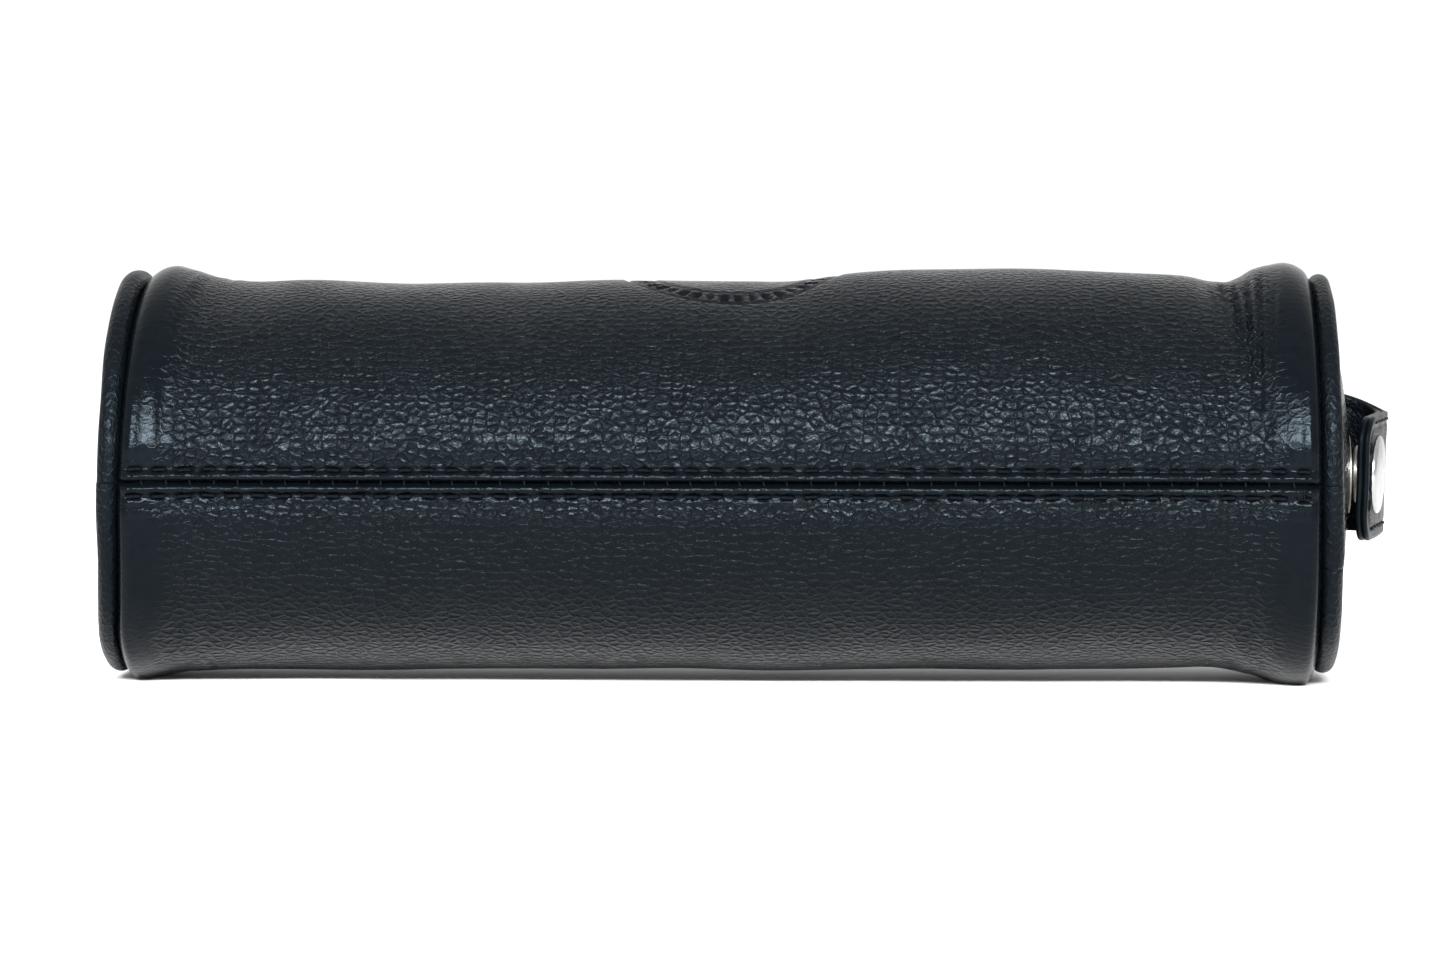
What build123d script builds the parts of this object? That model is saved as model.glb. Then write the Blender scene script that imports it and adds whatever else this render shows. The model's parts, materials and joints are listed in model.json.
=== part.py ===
"""A black pebbled-leather barrel pouch with piped round ends, in millimetres.

The pouch lies on its back panel. X runs along the barrel, +Z is up, the sewn bottom seam faces -Y and the
zipper faces +Y. A doubled leather tab is sewn to the right-hand end and snaps shut at the end's middle.
The origin is the centre of the bounding box on the surface that the pouch lies on.
"""

import os
from math import asin, cos, degrees, radians, sin, sqrt

from build123d import *

os.makedirs("parts", exist_ok=True)

# ---- Driving dimensions -------------------------------------------------------------------------------
LENGTH = 200.0  # over the two pipings
BAND_RADIUS = 35.0  # the puffed band beside each piping
MIDDLE_RADIUS = 33.4
WAIST_RADIUS = 32.8
GROUND_FLAT = 0.5  # how far each band is pressed flat by its own weight

LEATHER = 1.2
FOAM = 1.2
CLOTH = 0.4
SEAM_ALLOWANCE_THICKNESS = 1.0
HEM_THICKNESS = 0.8
SEAM_TAPE_THICKNESS = 0.3
LINING_DEPTH = 2.6  # under the leather's outer face

PIPING_RADIUS = 2.2
PIPING_CORD_RADIUS = 1.2
PIPING_RING = 31.5  # from the barrel's axis to the middle of the cord
PIPING_FLANGE = 0.8
WRAP_GAP = 0.3  # where the wrapped leather's edges meet under the cord

DOME_APEX = 103.8  # how far each stuffed end panel stands from the barrel's middle
DOME_EDGE_RADIUS = 27.8
FLANGE_RADIUS = 25.0  # how deep the end seams' allowances reach

ZIP_SLOT = 5.0  # half the gap between the two leather edges
ZIP_RADIUS = 30.4  # from the barrel's axis to the middle of the tape
TAPE_THICKNESS = 0.55
TAPE_WIDTH = 15.5
TOOTH_PITCH = 2.5
TOOTH_LENGTH = 1.15
TOOTH_HEIGHT = 2.0
TOOTH_LEG = 2.9  # how far each tooth's legs reach over the tape from the zipper's middle
CHAIN_START, CHAIN_END = -82.5, 80.0
SLIDER_X = 78.0  # shut; it runs to the other end of the chain
SLIDER_LENGTH = 12.0
SLIDER_HALF_WIDTH = 4.3
PULLER_LENGTH = 19.0
TAG_LENGTH = 30.0
TAG_WIDTH = 8.0

STRAP_WIDTH = 21.5
STRAP_LEAF = 1.0  # the tab is two leaves of thinner leather
STRAP_TILT = 11.5  # the snapped tab leans away from the end panel, in degrees
STRAP_BEND = 5.0  # inside radius of the tab's bend
STRAP_TAIL = 9.0  # tab past the snap's middle
STRAP_REACH = 14.0  # straight tab between the snap's middle and the bend
SNAP_X, SNAP_Y = 106.0, -2.0  # where the snap's axis meets the tab's inner face
FOLD_ANGLE = 45.0  # where along the bend the leather flexes
FOLD_GAP = 0.6  # degrees of bend left open at the fold
FOLD_SCORE = 0.5  # radius of the groove scored across the outer face, where the leather flexes
FOOT_END = 26.5  # how far the tab's sewn foot reaches towards the zipper

STITCH_PITCH = 3.86
THREAD_RADIUS = 0.36

# ---- Derived dimensions -------------------------------------------------------------------------------
WALL_END = LENGTH / 2 - 2 * PIPING_RADIUS
DOME_RISE = 5.2
DOME_INNER_APEX = DOME_APEX - LEATHER
DOME_RADIUS = (DOME_EDGE_RADIUS**2 + DOME_RISE**2) / (2 * DOME_RISE)
PIPING_X = LENGTH / 2 - PIPING_RADIUS
SEAM_ALLOWANCE = 9.0  # degrees of arc
HEM_ARC = 14.0
SLOT_ARC = degrees(asin(ZIP_SLOT / MIDDLE_RADIUS))
TAPE_ARC = degrees(TAPE_WIDTH / ZIP_RADIUS)
BAIL_TOP = 36.2

TILT_ALONG = Vector(sin(radians(STRAP_TILT)), cos(radians(STRAP_TILT)))
TILT_OUT = Vector(cos(radians(STRAP_TILT)), -sin(radians(STRAP_TILT)))
SNAP = Vector(SNAP_X, SNAP_Y)
TAB_TIP = SNAP - TILT_ALONG * STRAP_TAIL
BEND_START = SNAP + TILT_ALONG * STRAP_REACH
BEND_CENTRE = BEND_START - TILT_OUT * STRAP_BEND
TAB_THICKNESS = 2 * STRAP_LEAF
TAB_APEX = BEND_CENTRE.X + STRAP_BEND + TAB_THICKNESS

CENTRE = Vector(
    (DOME_APEX - TAB_APEX) / 2,
    (BAND_RADIUS - BAIL_TOP) / 2,
    BAND_RADIUS - GROUND_FLAT,
)
BARREL_AXIS = Axis(CENTRE, (-1, 0, 0))
END_PLANE = Plane(origin=CENTRE, x_dir=(1, 0, 0), z_dir=(0, 0, 1))  # lies level through the barrel's axis


def save(part, name):
    """Labels a finished piece and writes its STEP file."""
    part.label = name
    export_step(part, f"parts/{name}.step")


def section_plane(angle):
    """A plane holding the barrel's axis, at an angle from the seam. Local X is along it and Y outwards."""
    a = radians(angle)
    return Plane(origin=CENTRE, x_dir=(1, 0, 0), z_dir=(0, -sin(a), -cos(a)))


def at(x, y, z):
    """A point given from the barrel's middle."""
    return CENTRE + Vector(x, y, z)


# ---- The barrel's wall --------------------------------------------------------------------------------
def wall_points(depth):
    """Half of the wall's outline, from the end seam to the middle, sunk by a depth under the outer face."""
    outline = [
        (WALL_END, BAND_RADIUS - 2.8),
        (WALL_END - 0.8, BAND_RADIUS - 0.8),
        (WALL_END - 3.2, BAND_RADIUS),
        (WALL_END - 8.0, BAND_RADIUS - 1.0),
        (WALL_END - 12.6, WAIST_RADIUS + 0.2),
        (WALL_END - 20.0, WAIST_RADIUS),
        (LENGTH / 4, WAIST_RADIUS + 0.3),
    ]
    shrink = 1 - depth / WALL_END
    return [(x * shrink, r - depth) for x, r in outline]


def wall_line(depth):
    """The whole outline along the barrel at one depth, left to right."""
    right = wall_points(depth)
    left = [(-x, r) for x, r in right]
    points = left + [(0, MIDDLE_RADIUS - depth)] + right[::-1]
    return Spline(*points)


WALL = wall_line(0)


def wall_radius(x):
    """The outer face's radius at x along the barrel."""
    low, high = 0.0, 1.0
    for _ in range(24):
        middle = (low + high) / 2
        low, high = (middle, high) if (WALL @ middle).X < x else (low, middle)
    return (WALL @ low).Y


def wall_layer(outer, inner, start, sweep):
    """A layer of the wall between two depths, swept round the barrel from start."""
    with BuildPart() as layer:
        with BuildSketch(section_plane(start)):
            with BuildLine():
                top = wall_line(outer)
                bottom = wall_line(inner)
                Line(top @ 0, bottom @ 0)
                Line(top @ 1, bottom @ 1)
            make_face()
        revolve(axis=BARREL_AXIS, revolution_arc=sweep)
    return layer.part


def end_flanges(start, sweep):
    """The leather turned inwards at both ends, where the end seams are sewn."""
    with BuildPart() as flanges:
        with BuildSketch(section_plane(start)):
            for side in (-1, 1):
                with BuildLine():
                    Polyline(
                        (side * WALL_END, wall_points(0)[0][1]),
                        (side * WALL_END, FLANGE_RADIUS),
                        (side * (WALL_END - LEATHER), FLANGE_RADIUS),
                        (side * (WALL_END - LEATHER), wall_points(LEATHER)[0][1]),
                        close=True,
                    )
                make_face()
        revolve(axis=BARREL_AXIS, revolution_arc=sweep)
    return flanges.part


STITCH_RISE = 0.05  # the thread's middle above the leather's face
CHANNEL_DEPTH = THREAD_RADIUS - STITCH_RISE
SEAM_ROW_OFFSET = 2.15  # from the seam to each row of topstitching
ZIP_ROW_OFFSET = 2.2  # from each leather edge to its row
SEAM_ROW_ANGLE = degrees(SEAM_ROW_OFFSET / MIDDLE_RADIUS)
ZIP_ROW_ANGLE = 180 - SLOT_ARC - degrees(ZIP_ROW_OFFSET / MIDDLE_RADIUS)
CHANNEL_WIDTH = 1.1
CHANNEL_ARC = degrees(CHANNEL_WIDTH / MIDDLE_RADIUS)
EMBLEM_X, EMBLEM_Y = 1.7, 2.4
EMBLEM_DEPTH = 0.45
EMBLEM_RINGS = ((18.2, 14.8), (13.4, 12.8))  # outer and inner radius of each pressed ring

with BuildPart() as emblem_groove:
    with BuildSketch(Plane(at(EMBLEM_X, EMBLEM_Y, BAND_RADIUS / 2))):
        for outer_radius, inner_radius in EMBLEM_RINGS:
            Circle(outer_radius)
            Circle(inner_radius, mode=Mode.SUBTRACT)
    extrude(amount=BAND_RADIUS)
    with Locations(CENTRE):
        Cylinder(MIDDLE_RADIUS - EMBLEM_DEPTH, LENGTH, rotation=(0, 90, 0), mode=Mode.SUBTRACT)


def body_panel(side):
    """One half of the barrel's leather: its wall, its seam allowance, its zipper hem and its end flanges."""
    sweep = side * (180 - SLOT_ARC)
    with BuildPart() as panel:
        add(wall_layer(0, LEATHER, 0, sweep))
        add(end_flanges(0, sweep))
        add(wall_layer(LEATHER, LEATHER + SEAM_ALLOWANCE_THICKNESS, 0, side * SEAM_ALLOWANCE))
        add(wall_layer(LEATHER, LEATHER + HEM_THICKNESS, sweep - side * HEM_ARC, side * HEM_ARC))
        for angle in (SEAM_ROW_ANGLE, ZIP_ROW_ANGLE):
            start = side * (angle - CHANNEL_ARC / 2)
            add(wall_layer(-0.5, CHANNEL_DEPTH, start, side * CHANNEL_ARC), mode=Mode.SUBTRACT)
    return panel.part


with BuildPart() as front_panel:
    add(body_panel(1))
    add(emblem_groove.part, mode=Mode.SUBTRACT)
save(front_panel.part, "front_panel")

with BuildPart() as back_panel:
    add(body_panel(-1))
    with Locations(at(0, 0, -BAND_RADIUS - 5 + GROUND_FLAT)):
        Box(LENGTH, LENGTH / 2, 10, mode=Mode.SUBTRACT)
save(back_panel.part, "back_panel")

BACKING_GAP = 0.3  # degrees between the foam and the seam allowance
BACKING_SWEEP = 180 - TAPE_ARC - SEAM_ALLOWANCE - 0.8
for name, side in (("front_foam", 1), ("back_foam", -1)):
    with BuildPart() as foam:
        add(wall_layer(LEATHER, LEATHER + FOAM, side * (SEAM_ALLOWANCE + BACKING_GAP), side * BACKING_SWEEP))
    save(foam.part, name)

with BuildPart() as seam_tape:
    tape_depth = LEATHER + SEAM_ALLOWANCE_THICKNESS
    add(wall_layer(tape_depth, tape_depth + SEAM_TAPE_THICKNESS, -SEAM_ALLOWANCE, 2 * SEAM_ALLOWANCE))
save(seam_tape.part, "seam_tape")

LINING_ARC = 180 - TAPE_ARC - 0.5
with BuildPart() as body_lining:
    add(wall_layer(LINING_DEPTH, LINING_DEPTH + CLOTH, -LINING_ARC, 2 * LINING_ARC))
save(body_lining.part, "body_lining")


# ---- The ends -----------------------------------------------------------------------------------------
def dome_x(apex, radius):
    """Where the dome with this apex stands at a radius from the barrel's axis. All domes share one centre."""
    ball = DOME_RADIUS + apex - DOME_INNER_APEX
    return apex - ball + sqrt(ball**2 - radius**2)


def dome_arc(apex, radius, side):
    """The arc of a dome from the axis out to a radius."""
    return ThreePointArc(
        (side * apex, 0),
        (side * dome_x(apex, radius / 2), radius / 2),
        (side * dome_x(apex, radius), radius),
    )


def dome_disc(outer_apex, inner_apex, radius, side):
    """A domed disc between two apexes."""
    with BuildPart() as disc:
        with BuildSketch(section_plane(0)):
            with BuildLine():
                outer = dome_arc(outer_apex, radius, side)
                inner = dome_arc(inner_apex, radius, side)
                Line(outer @ 0, inner @ 0)
                Line(outer @ 1, inner @ 1)
            make_face()
        revolve(axis=BARREL_AXIS)
    return disc.part


PANEL_EDGE = PIPING_RING - PIPING_RADIUS - 0.1
PANEL_FLANGE_X = WALL_END + PIPING_FLANGE
BOARD_RADIUS = 24.0
BOARD_APEX = DOME_INNER_APEX
LINING_APEX = BOARD_APEX - 1.8


def end_panel(side):
    """The domed leather end, with its edge turned in against the piping's flange."""
    with BuildPart() as panel:
        with BuildSketch(section_plane(0)):
            with BuildLine():
                outer = dome_arc(DOME_APEX, PANEL_EDGE, side)
                inner = dome_arc(DOME_INNER_APEX, DOME_EDGE_RADIUS, side)
                Polyline(
                    outer @ 1,
                    (side * PANEL_FLANGE_X, PANEL_EDGE),
                    (side * PANEL_FLANGE_X, FLANGE_RADIUS),
                    (side * (PANEL_FLANGE_X + LEATHER), FLANGE_RADIUS),
                    inner @ 1,
                )
                Line(inner @ 0, outer @ 0)
            make_face()
        revolve(axis=BARREL_AXIS)
    return panel.part


def piping(side):
    """Leather wrapped round the cord, with its flange reaching into the end seam."""
    with BuildPart() as wrap:
        with BuildSketch(section_plane(0)):
            with Locations((side * PIPING_X, PIPING_RING)):
                Circle(PIPING_RADIUS)
            with Locations((side * (WALL_END + PIPING_FLANGE / 2), (PIPING_RING + FLANGE_RADIUS) / 2)):
                Rectangle(PIPING_FLANGE, PIPING_RING - FLANGE_RADIUS)
            with Locations((side * PIPING_X, PIPING_RING)):
                Circle(PIPING_CORD_RADIUS, mode=Mode.SUBTRACT)
            with Locations((side * PIPING_X, PIPING_RING - PIPING_RADIUS)):
                Rectangle(WRAP_GAP, 2 * PIPING_RADIUS, mode=Mode.SUBTRACT)
        revolve(axis=BARREL_AXIS)
    return wrap.part


def piping_cord(side):
    """The cord inside the piping."""
    with BuildPart() as cord:
        with BuildSketch(section_plane(0)):
            with Locations((side * PIPING_X, PIPING_RING)):
                Circle(PIPING_CORD_RADIUS)
        revolve(axis=BARREL_AXIS)
    return cord.part


def seam_binding(side):
    """The U-shaped tape bound over the end seam's raw edges."""
    inner_x = WALL_END - LEATHER
    outer_x = PANEL_FLANGE_X + LEATHER
    middle = side * (inner_x + outer_x) / 2
    with BuildPart() as binding:
        with BuildSketch(section_plane(0)):
            with Locations((middle, FLANGE_RADIUS + 0.4)):
                Rectangle(outer_x - inner_x + 0.6, 1.4)
            with Locations((middle, FLANGE_RADIUS + 1.0)):
                Rectangle(outer_x - inner_x, 2.0, mode=Mode.SUBTRACT)
        revolve(axis=BARREL_AXIS)
    return binding.part


# The snap's stud stands along X; its cap and socket are square to the tilted tab.
STUD_SEAT = DOME_APEX - 0.5
STUD_FLANGE_RADIUS = 6.4
STUD_POST_RADIUS = 1.7
STUD_RIVET_RADIUS = 1.5
STUD_Y = SNAP_Y + 0.3


def stud_plane(x):
    """A plane facing outwards across the stud's axis."""
    return Plane(origin=at(x, STUD_Y, 0), x_dir=(0, 1, 0), z_dir=(1, 0, 0))


for end, side in (("left", -1), ("right", 1)):
    with BuildPart() as panel:
        add(end_panel(side))
        if side == 1:
            with BuildSketch(stud_plane(STUD_SEAT)):
                Circle(STUD_FLANGE_RADIUS + 0.2)
            extrude(amount=5, mode=Mode.SUBTRACT)
            with BuildSketch(stud_plane(STUD_SEAT - 4)):
                Circle(STUD_RIVET_RADIUS)
            extrude(amount=5, mode=Mode.SUBTRACT)
    save(panel.part, f"{end}_end_panel")

    with BuildPart() as board:
        add(dome_disc(BOARD_APEX, BOARD_APEX - 1.0, BOARD_RADIUS, side))
        if side == 1:
            with BuildSketch(stud_plane(STUD_SEAT - 4)):
                Circle(STUD_RIVET_RADIUS)
            extrude(amount=5, mode=Mode.SUBTRACT)
    save(board.part, f"{end}_end_board")

    save(dome_disc(LINING_APEX, LINING_APEX - CLOTH, BOARD_RADIUS - 0.4, side), f"{end}_end_lining")
    save(piping(side), f"{end}_piping")
    save(piping_cord(side), f"{end}_piping_cord")
    save(seam_binding(side), f"{end}_seam_binding")


# ---- Stitches -----------------------------------------------------------------------------------------
def stitch(start, end):
    """One stitch of thread lying from start to end, rounded where it dives into the leather."""
    run = end - start
    with BuildPart() as thread:
        with BuildSketch(Plane(origin=start, z_dir=run)):
            Circle(THREAD_RADIUS)
        extrude(amount=run.length)
        for point in (start, end):
            with Locations(point):
                Sphere(THREAD_RADIUS)
    return thread.part


def stitch_row(points, gap=0.9):
    """A list of stitches from each point to the next, each stopping short by half the gap."""
    stitches = []
    for first, second in zip(points, points[1:]):
        step = (second - first).normalized() * (gap / 2)
        stitches.append(stitch(first + step, second - step))
    return stitches


def around(x, angle, radius):
    """A point of the barrel by its length, its angle from the seam and its radius."""
    a = radians(angle)
    return at(x, -radius * cos(a), radius * sin(a))


SEAM_HALF_RUN = 24.5 * STITCH_PITCH
SLOPE_LIFT = 0.2  # a thread on a slope stands this share of its climb higher, clear of the channel's floor


def bulge_between(start, end):
    """How far the wall stands out past a straight thread between two places along the barrel."""
    bulges = [0]
    for share in (0.15, 0.3, 0.5, 0.7, 0.85):
        chord = wall_radius(start) * (1 - share) + wall_radius(end) * share
        bulges.append(wall_radius(start + (end - start) * share) - chord)
    return max(bulges)


def barrel_row(angle, half_run):
    """A row of stitches along the barrel, its thread lying in the channel it has pulled in the leather."""
    count = round(2 * half_run / STITCH_PITCH)
    places = [-half_run + i * 2 * half_run / count for i in range(count + 1)]
    stitches = []
    for ends in zip(places, places[1:]):
        slope_lift = SLOPE_LIFT * abs(wall_radius(ends[0]) - wall_radius(ends[1]))
        rise = STITCH_RISE + bulge_between(*ends) + slope_lift
        stitches += stitch_row([around(x, angle, wall_radius(x) + rise) for x in ends])
    return Compound(children=stitches)


save(barrel_row(SEAM_ROW_ANGLE, SEAM_HALF_RUN), "seam_stitches_front")
save(barrel_row(-SEAM_ROW_ANGLE, SEAM_HALF_RUN), "seam_stitches_back")
save(barrel_row(ZIP_ROW_ANGLE, SEAM_HALF_RUN), "zipper_stitches_front")
save(barrel_row(-ZIP_ROW_ANGLE, SEAM_HALF_RUN), "zipper_stitches_back")

# ---- Zipper -------------------------------------------------------------------------------------------
TAPE_EDGE_ARC = degrees(1.8 / ZIP_RADIUS)
TAPE_HALF_LENGTH = WALL_END - LEATHER - 2.4


def zip_point(x, rise, across=0.0):
    """A point by the zipper: along the barrel, out from the barrel's axis, and up from the zipper's line."""
    return at(x, rise, across)


def zip_plane(rise):
    """A plane facing out of the zipper at a distance from the barrel's axis. Local X is along the barrel."""
    return Plane(origin=zip_point(0, rise), x_dir=(1, 0, 0), z_dir=(0, 1, 0))


def zipper_tape(side):
    """One woven tape, curved like the wall, from its toothed edge to its sewn edge."""
    with BuildPart() as tape:
        with BuildSketch(section_plane(side * (180 - TAPE_ARC))):
            with Locations((0, ZIP_RADIUS)):
                Rectangle(2 * TAPE_HALF_LENGTH, TAPE_THICKNESS)
        revolve(axis=BARREL_AXIS, revolution_arc=side * (TAPE_ARC - TAPE_EDGE_ARC))
    return tape.part


save(zipper_tape(1), "zipper_tape_front")
save(zipper_tape(-1), "zipper_tape_back")


def zipper_teeth(side, first):
    """One row of metal teeth. Each reaches past the middle, between two teeth of the other row."""
    count = int((CHAIN_END - first) / TOOTH_PITCH) + 1
    places = [first + i * TOOTH_PITCH for i in range(count)]
    with BuildPart() as tooth:
        with BuildSketch(zip_plane(ZIP_RADIUS - TOOTH_HEIGHT / 2)):
            with BuildLine():
                Polyline(
                    (-TOOTH_LENGTH / 2, side * -TOOTH_LEG),
                    (-TOOTH_LENGTH / 2, side * 0.7),
                    (-TOOTH_LENGTH / 4, side * 0.95),
                    (TOOTH_LENGTH / 4, side * 0.95),
                    (TOOTH_LENGTH / 2, side * 0.7),
                    (TOOTH_LENGTH / 2, side * -TOOTH_LEG),
                    close=True,
                )
            make_face()
        extrude(amount=TOOTH_HEIGHT)
        fillet(tooth.edges().filter_by(Axis.X), 0.3)
        with Locations(zip_point(0, ZIP_RADIUS - 0.1, side * TOOTH_LEG)):
            Box(2 * TOOTH_LENGTH, TAPE_THICKNESS + 0.13, 2 * (TOOTH_LEG - 1.76), mode=Mode.SUBTRACT)
    return Compound(children=[Location((x, 0, 0)) * tooth.part for x in places])


save(zipper_teeth(1, CHAIN_START), "zipper_teeth_front")
save(zipper_teeth(-1, CHAIN_START + TOOTH_PITCH / 2), "zipper_teeth_back")


def zipper_stop(x, length, half_width, z_centres):
    """Metal blocks crimped over the tape at one end of the teeth."""
    with BuildPart() as stop:
        for z in z_centres:
            with Locations(zip_point(x, ZIP_RADIUS, z)):
                Box(length, TOOTH_HEIGHT + 0.4, 2 * half_width)
        fillet(stop.edges().filter_by(Axis.X), 0.4)
        for side in (-1, 1):
            add(zipper_tape(side), mode=Mode.SUBTRACT)
    return stop.part


save(zipper_stop(86.0, 2.2, 1.1, (-2.4, 2.4)), "zipper_top_stops")
save(zipper_stop(-85.6, 2.6, 2.6, (0,)), "zipper_bottom_stop")

# A low leather tab covers each end of the tapes and turns down into the end seam.
COVER_LENGTH = 7.0
COVER_RADIUS = ZIP_RADIUS + TAPE_THICKNESS / 2 + 0.02
COVER_ARC = SLOT_ARC - 0.4
for end, side in (("left", -1), ("right", 1)):
    with BuildPart() as cover:
        with BuildSketch(section_plane(180 - COVER_ARC)):
            with BuildLine():
                Polyline(
                    (side * (WALL_END - COVER_LENGTH), COVER_RADIUS),
                    (side * (WALL_END - COVER_LENGTH), COVER_RADIUS + LEATHER),
                    (side * WALL_END, COVER_RADIUS + LEATHER),
                    (side * WALL_END, FLANGE_RADIUS),
                    (side * (WALL_END - LEATHER), FLANGE_RADIUS),
                    (side * (WALL_END - LEATHER), COVER_RADIUS),
                    close=True,
                )
            make_face()
        revolve(axis=BARREL_AXIS, revolution_arc=2 * COVER_ARC)
    save(cover.part, f"{end}_zipper_end_cover")

# The slider: two plates joined by a post at its open end, with lips that keep it on the tape.
PLATE = 1.1
SLIDER_TOP = ZIP_RADIUS + TOOTH_HEIGHT / 2 + 0.25
SLIDER_BOTTOM = ZIP_RADIUS - TOOTH_HEIGHT / 2 - 0.2
BAIL_HALF_WIDTH = 1.0
PIVOT_RISE = 35.0
PIVOT_RADIUS = 0.8
PIVOT_CLEARANCE = 0.08
UPPER_LIP, LOWER_LIP = 0.6, 0.3

with BuildPart() as zipper_slider:
    with BuildSketch(zip_plane(SLIDER_BOTTOM - PLATE)):
        with BuildLine():
            back_x = SLIDER_X - SLIDER_LENGTH / 2
            front_x = SLIDER_X + SLIDER_LENGTH / 2
            Polyline(
                (back_x, -SLIDER_HALF_WIDTH + 0.9),
                (back_x, SLIDER_HALF_WIDTH - 0.9),
                (front_x - 4, SLIDER_HALF_WIDTH),
                (front_x, SLIDER_HALF_WIDTH - 1.2),
                (front_x, -SLIDER_HALF_WIDTH + 1.2),
                (front_x - 4, -SLIDER_HALF_WIDTH),
                close=True,
            )
        make_face()
    extrude(amount=SLIDER_TOP + 2 * PLATE - SLIDER_BOTTOM)
    fillet(zipper_slider.edges().filter_by(Axis.Y), 0.9)
    fillet(zipper_slider.edges().filter_by(GeomType.LINE).group_by(Axis.Y)[-1], 0.35)
    with Locations(zip_point(SLIDER_X, (SLIDER_TOP + SLIDER_BOTTOM) / 2)):
        Box(SLIDER_LENGTH + 1, SLIDER_TOP - SLIDER_BOTTOM, 2 * (SLIDER_HALF_WIDTH + 1), mode=Mode.SUBTRACT)
    with Locations(zip_point(SLIDER_X + SLIDER_LENGTH / 2 - 1.6, (SLIDER_TOP + SLIDER_BOTTOM) / 2)):
        Box(2.4, SLIDER_TOP - SLIDER_BOTTOM, 2.0)
    for z in (-SLIDER_HALF_WIDTH + 0.9, SLIDER_HALF_WIDTH - 0.9):
        lips = (SLIDER_TOP - UPPER_LIP / 2, UPPER_LIP), (SLIDER_BOTTOM + LOWER_LIP / 2, LOWER_LIP)
        for rise, depth in lips:
            with Locations(zip_point(SLIDER_X - 0.5, rise, z)):
                Box(SLIDER_LENGTH - 3.0, depth, 0.8)
    with BuildSketch(Plane(origin=zip_point(SLIDER_X, 0), x_dir=(1, 0, 0), z_dir=(0, 0, -1))):
        with BuildLine():
            base = -(SLIDER_TOP + PLATE - 0.1)
            Polyline((-4.6, base), (4.6, base), (3.4, -BAIL_TOP + 0.8), (2.2, -BAIL_TOP))
            Polyline((2.2, -BAIL_TOP), (-2.2, -BAIL_TOP), (-3.4, -BAIL_TOP + 0.8), (-4.6, base))
        make_face()
        with Locations((0, -PIVOT_RISE)):
            Circle(PIVOT_RADIUS + PIVOT_CLEARANCE, mode=Mode.SUBTRACT)
    extrude(amount=BAIL_HALF_WIDTH, both=True)
save(zipper_slider.part, "zipper_slider")

# The puller: a cross bar through the slider's bail, two arms, and a plate that ends in a slot for the tag.
PULLER_THICKNESS = 1.4
PULLER_HALF_WIDTH = 4.4
TAG_SLOT_HALF_WIDTH = 3.5
TAG_BAR_X = SLIDER_X - PULLER_LENGTH
TAG_BAR_RADIUS = 0.7
SLOT_NEAR = TAG_BAR_X + 3.6

with BuildPart() as zipper_puller:
    with BuildSketch(zip_plane(PIVOT_RISE - PULLER_THICKNESS / 2)):
        with BuildLine():
            Polyline(
                (SLIDER_X + 0.7, -2.6),
                (SLIDER_X + 0.7, 2.6),
                (SLIDER_X - 7.0, 2.0),
                (TAG_BAR_X + 5.0, PULLER_HALF_WIDTH),
                (TAG_BAR_X - 0.7, PULLER_HALF_WIDTH),
                (TAG_BAR_X - 0.7, -PULLER_HALF_WIDTH),
                (TAG_BAR_X + 5.0, -PULLER_HALF_WIDTH),
                (SLIDER_X - 7.0, -2.0),
                close=True,
            )
        make_face()
        with Locations((SLIDER_X - 1.2, 0)):
            Rectangle(8.0, 2 * BAIL_HALF_WIDTH + 0.4, mode=Mode.SUBTRACT)
        with Locations(((SLOT_NEAR + TAG_BAR_X) / 2, 0)):
            Rectangle(SLOT_NEAR - TAG_BAR_X, 2 * TAG_SLOT_HALF_WIDTH, mode=Mode.SUBTRACT)
        with Locations((TAG_BAR_X, 0)):
            Rectangle(1.5, 2 * TAG_SLOT_HALF_WIDTH, mode=Mode.SUBTRACT)
    extrude(amount=PULLER_THICKNESS)
    fillet(zipper_puller.edges().filter_by(Axis.Y).group_by(Axis.X)[0], 0.3)
    for x, radius, half in (
        (SLIDER_X, PIVOT_RADIUS, 2.6),
        (TAG_BAR_X, TAG_BAR_RADIUS, TAG_SLOT_HALF_WIDTH + 0.4),
    ):
        with BuildSketch(Plane(origin=zip_point(x, PIVOT_RISE), x_dir=(1, 0, 0), z_dir=(0, 0, 1))):
            Circle(radius)
        extrude(amount=half, both=True)
save(zipper_puller.part, "zipper_puller")

# The tag: one strip of leather folded round the puller's bar and sewn to itself.
TAG_LEAF = 1.0
TAG_PLANE = Plane(origin=zip_point(TAG_BAR_X, PIVOT_RISE), x_dir=(-1, 0, 0), z_dir=(0, 0, -1))
LOOP_RADIUS = TAG_BAR_RADIUS + 0.1

TAG_FACE = PIVOT_RISE + TAG_LEAF
tag_rows = []
for z in (-TAG_WIDTH / 2 + 1.5, TAG_WIDTH / 2 - 1.5):
    run = [zip_point(TAG_BAR_X - 9.5 - 2.9 * i, TAG_FACE, z) for i in range(7)]
    tag_rows += stitch_row(run)
save(Compound(children=tag_rows), "pull_tag_stitches")

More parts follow.
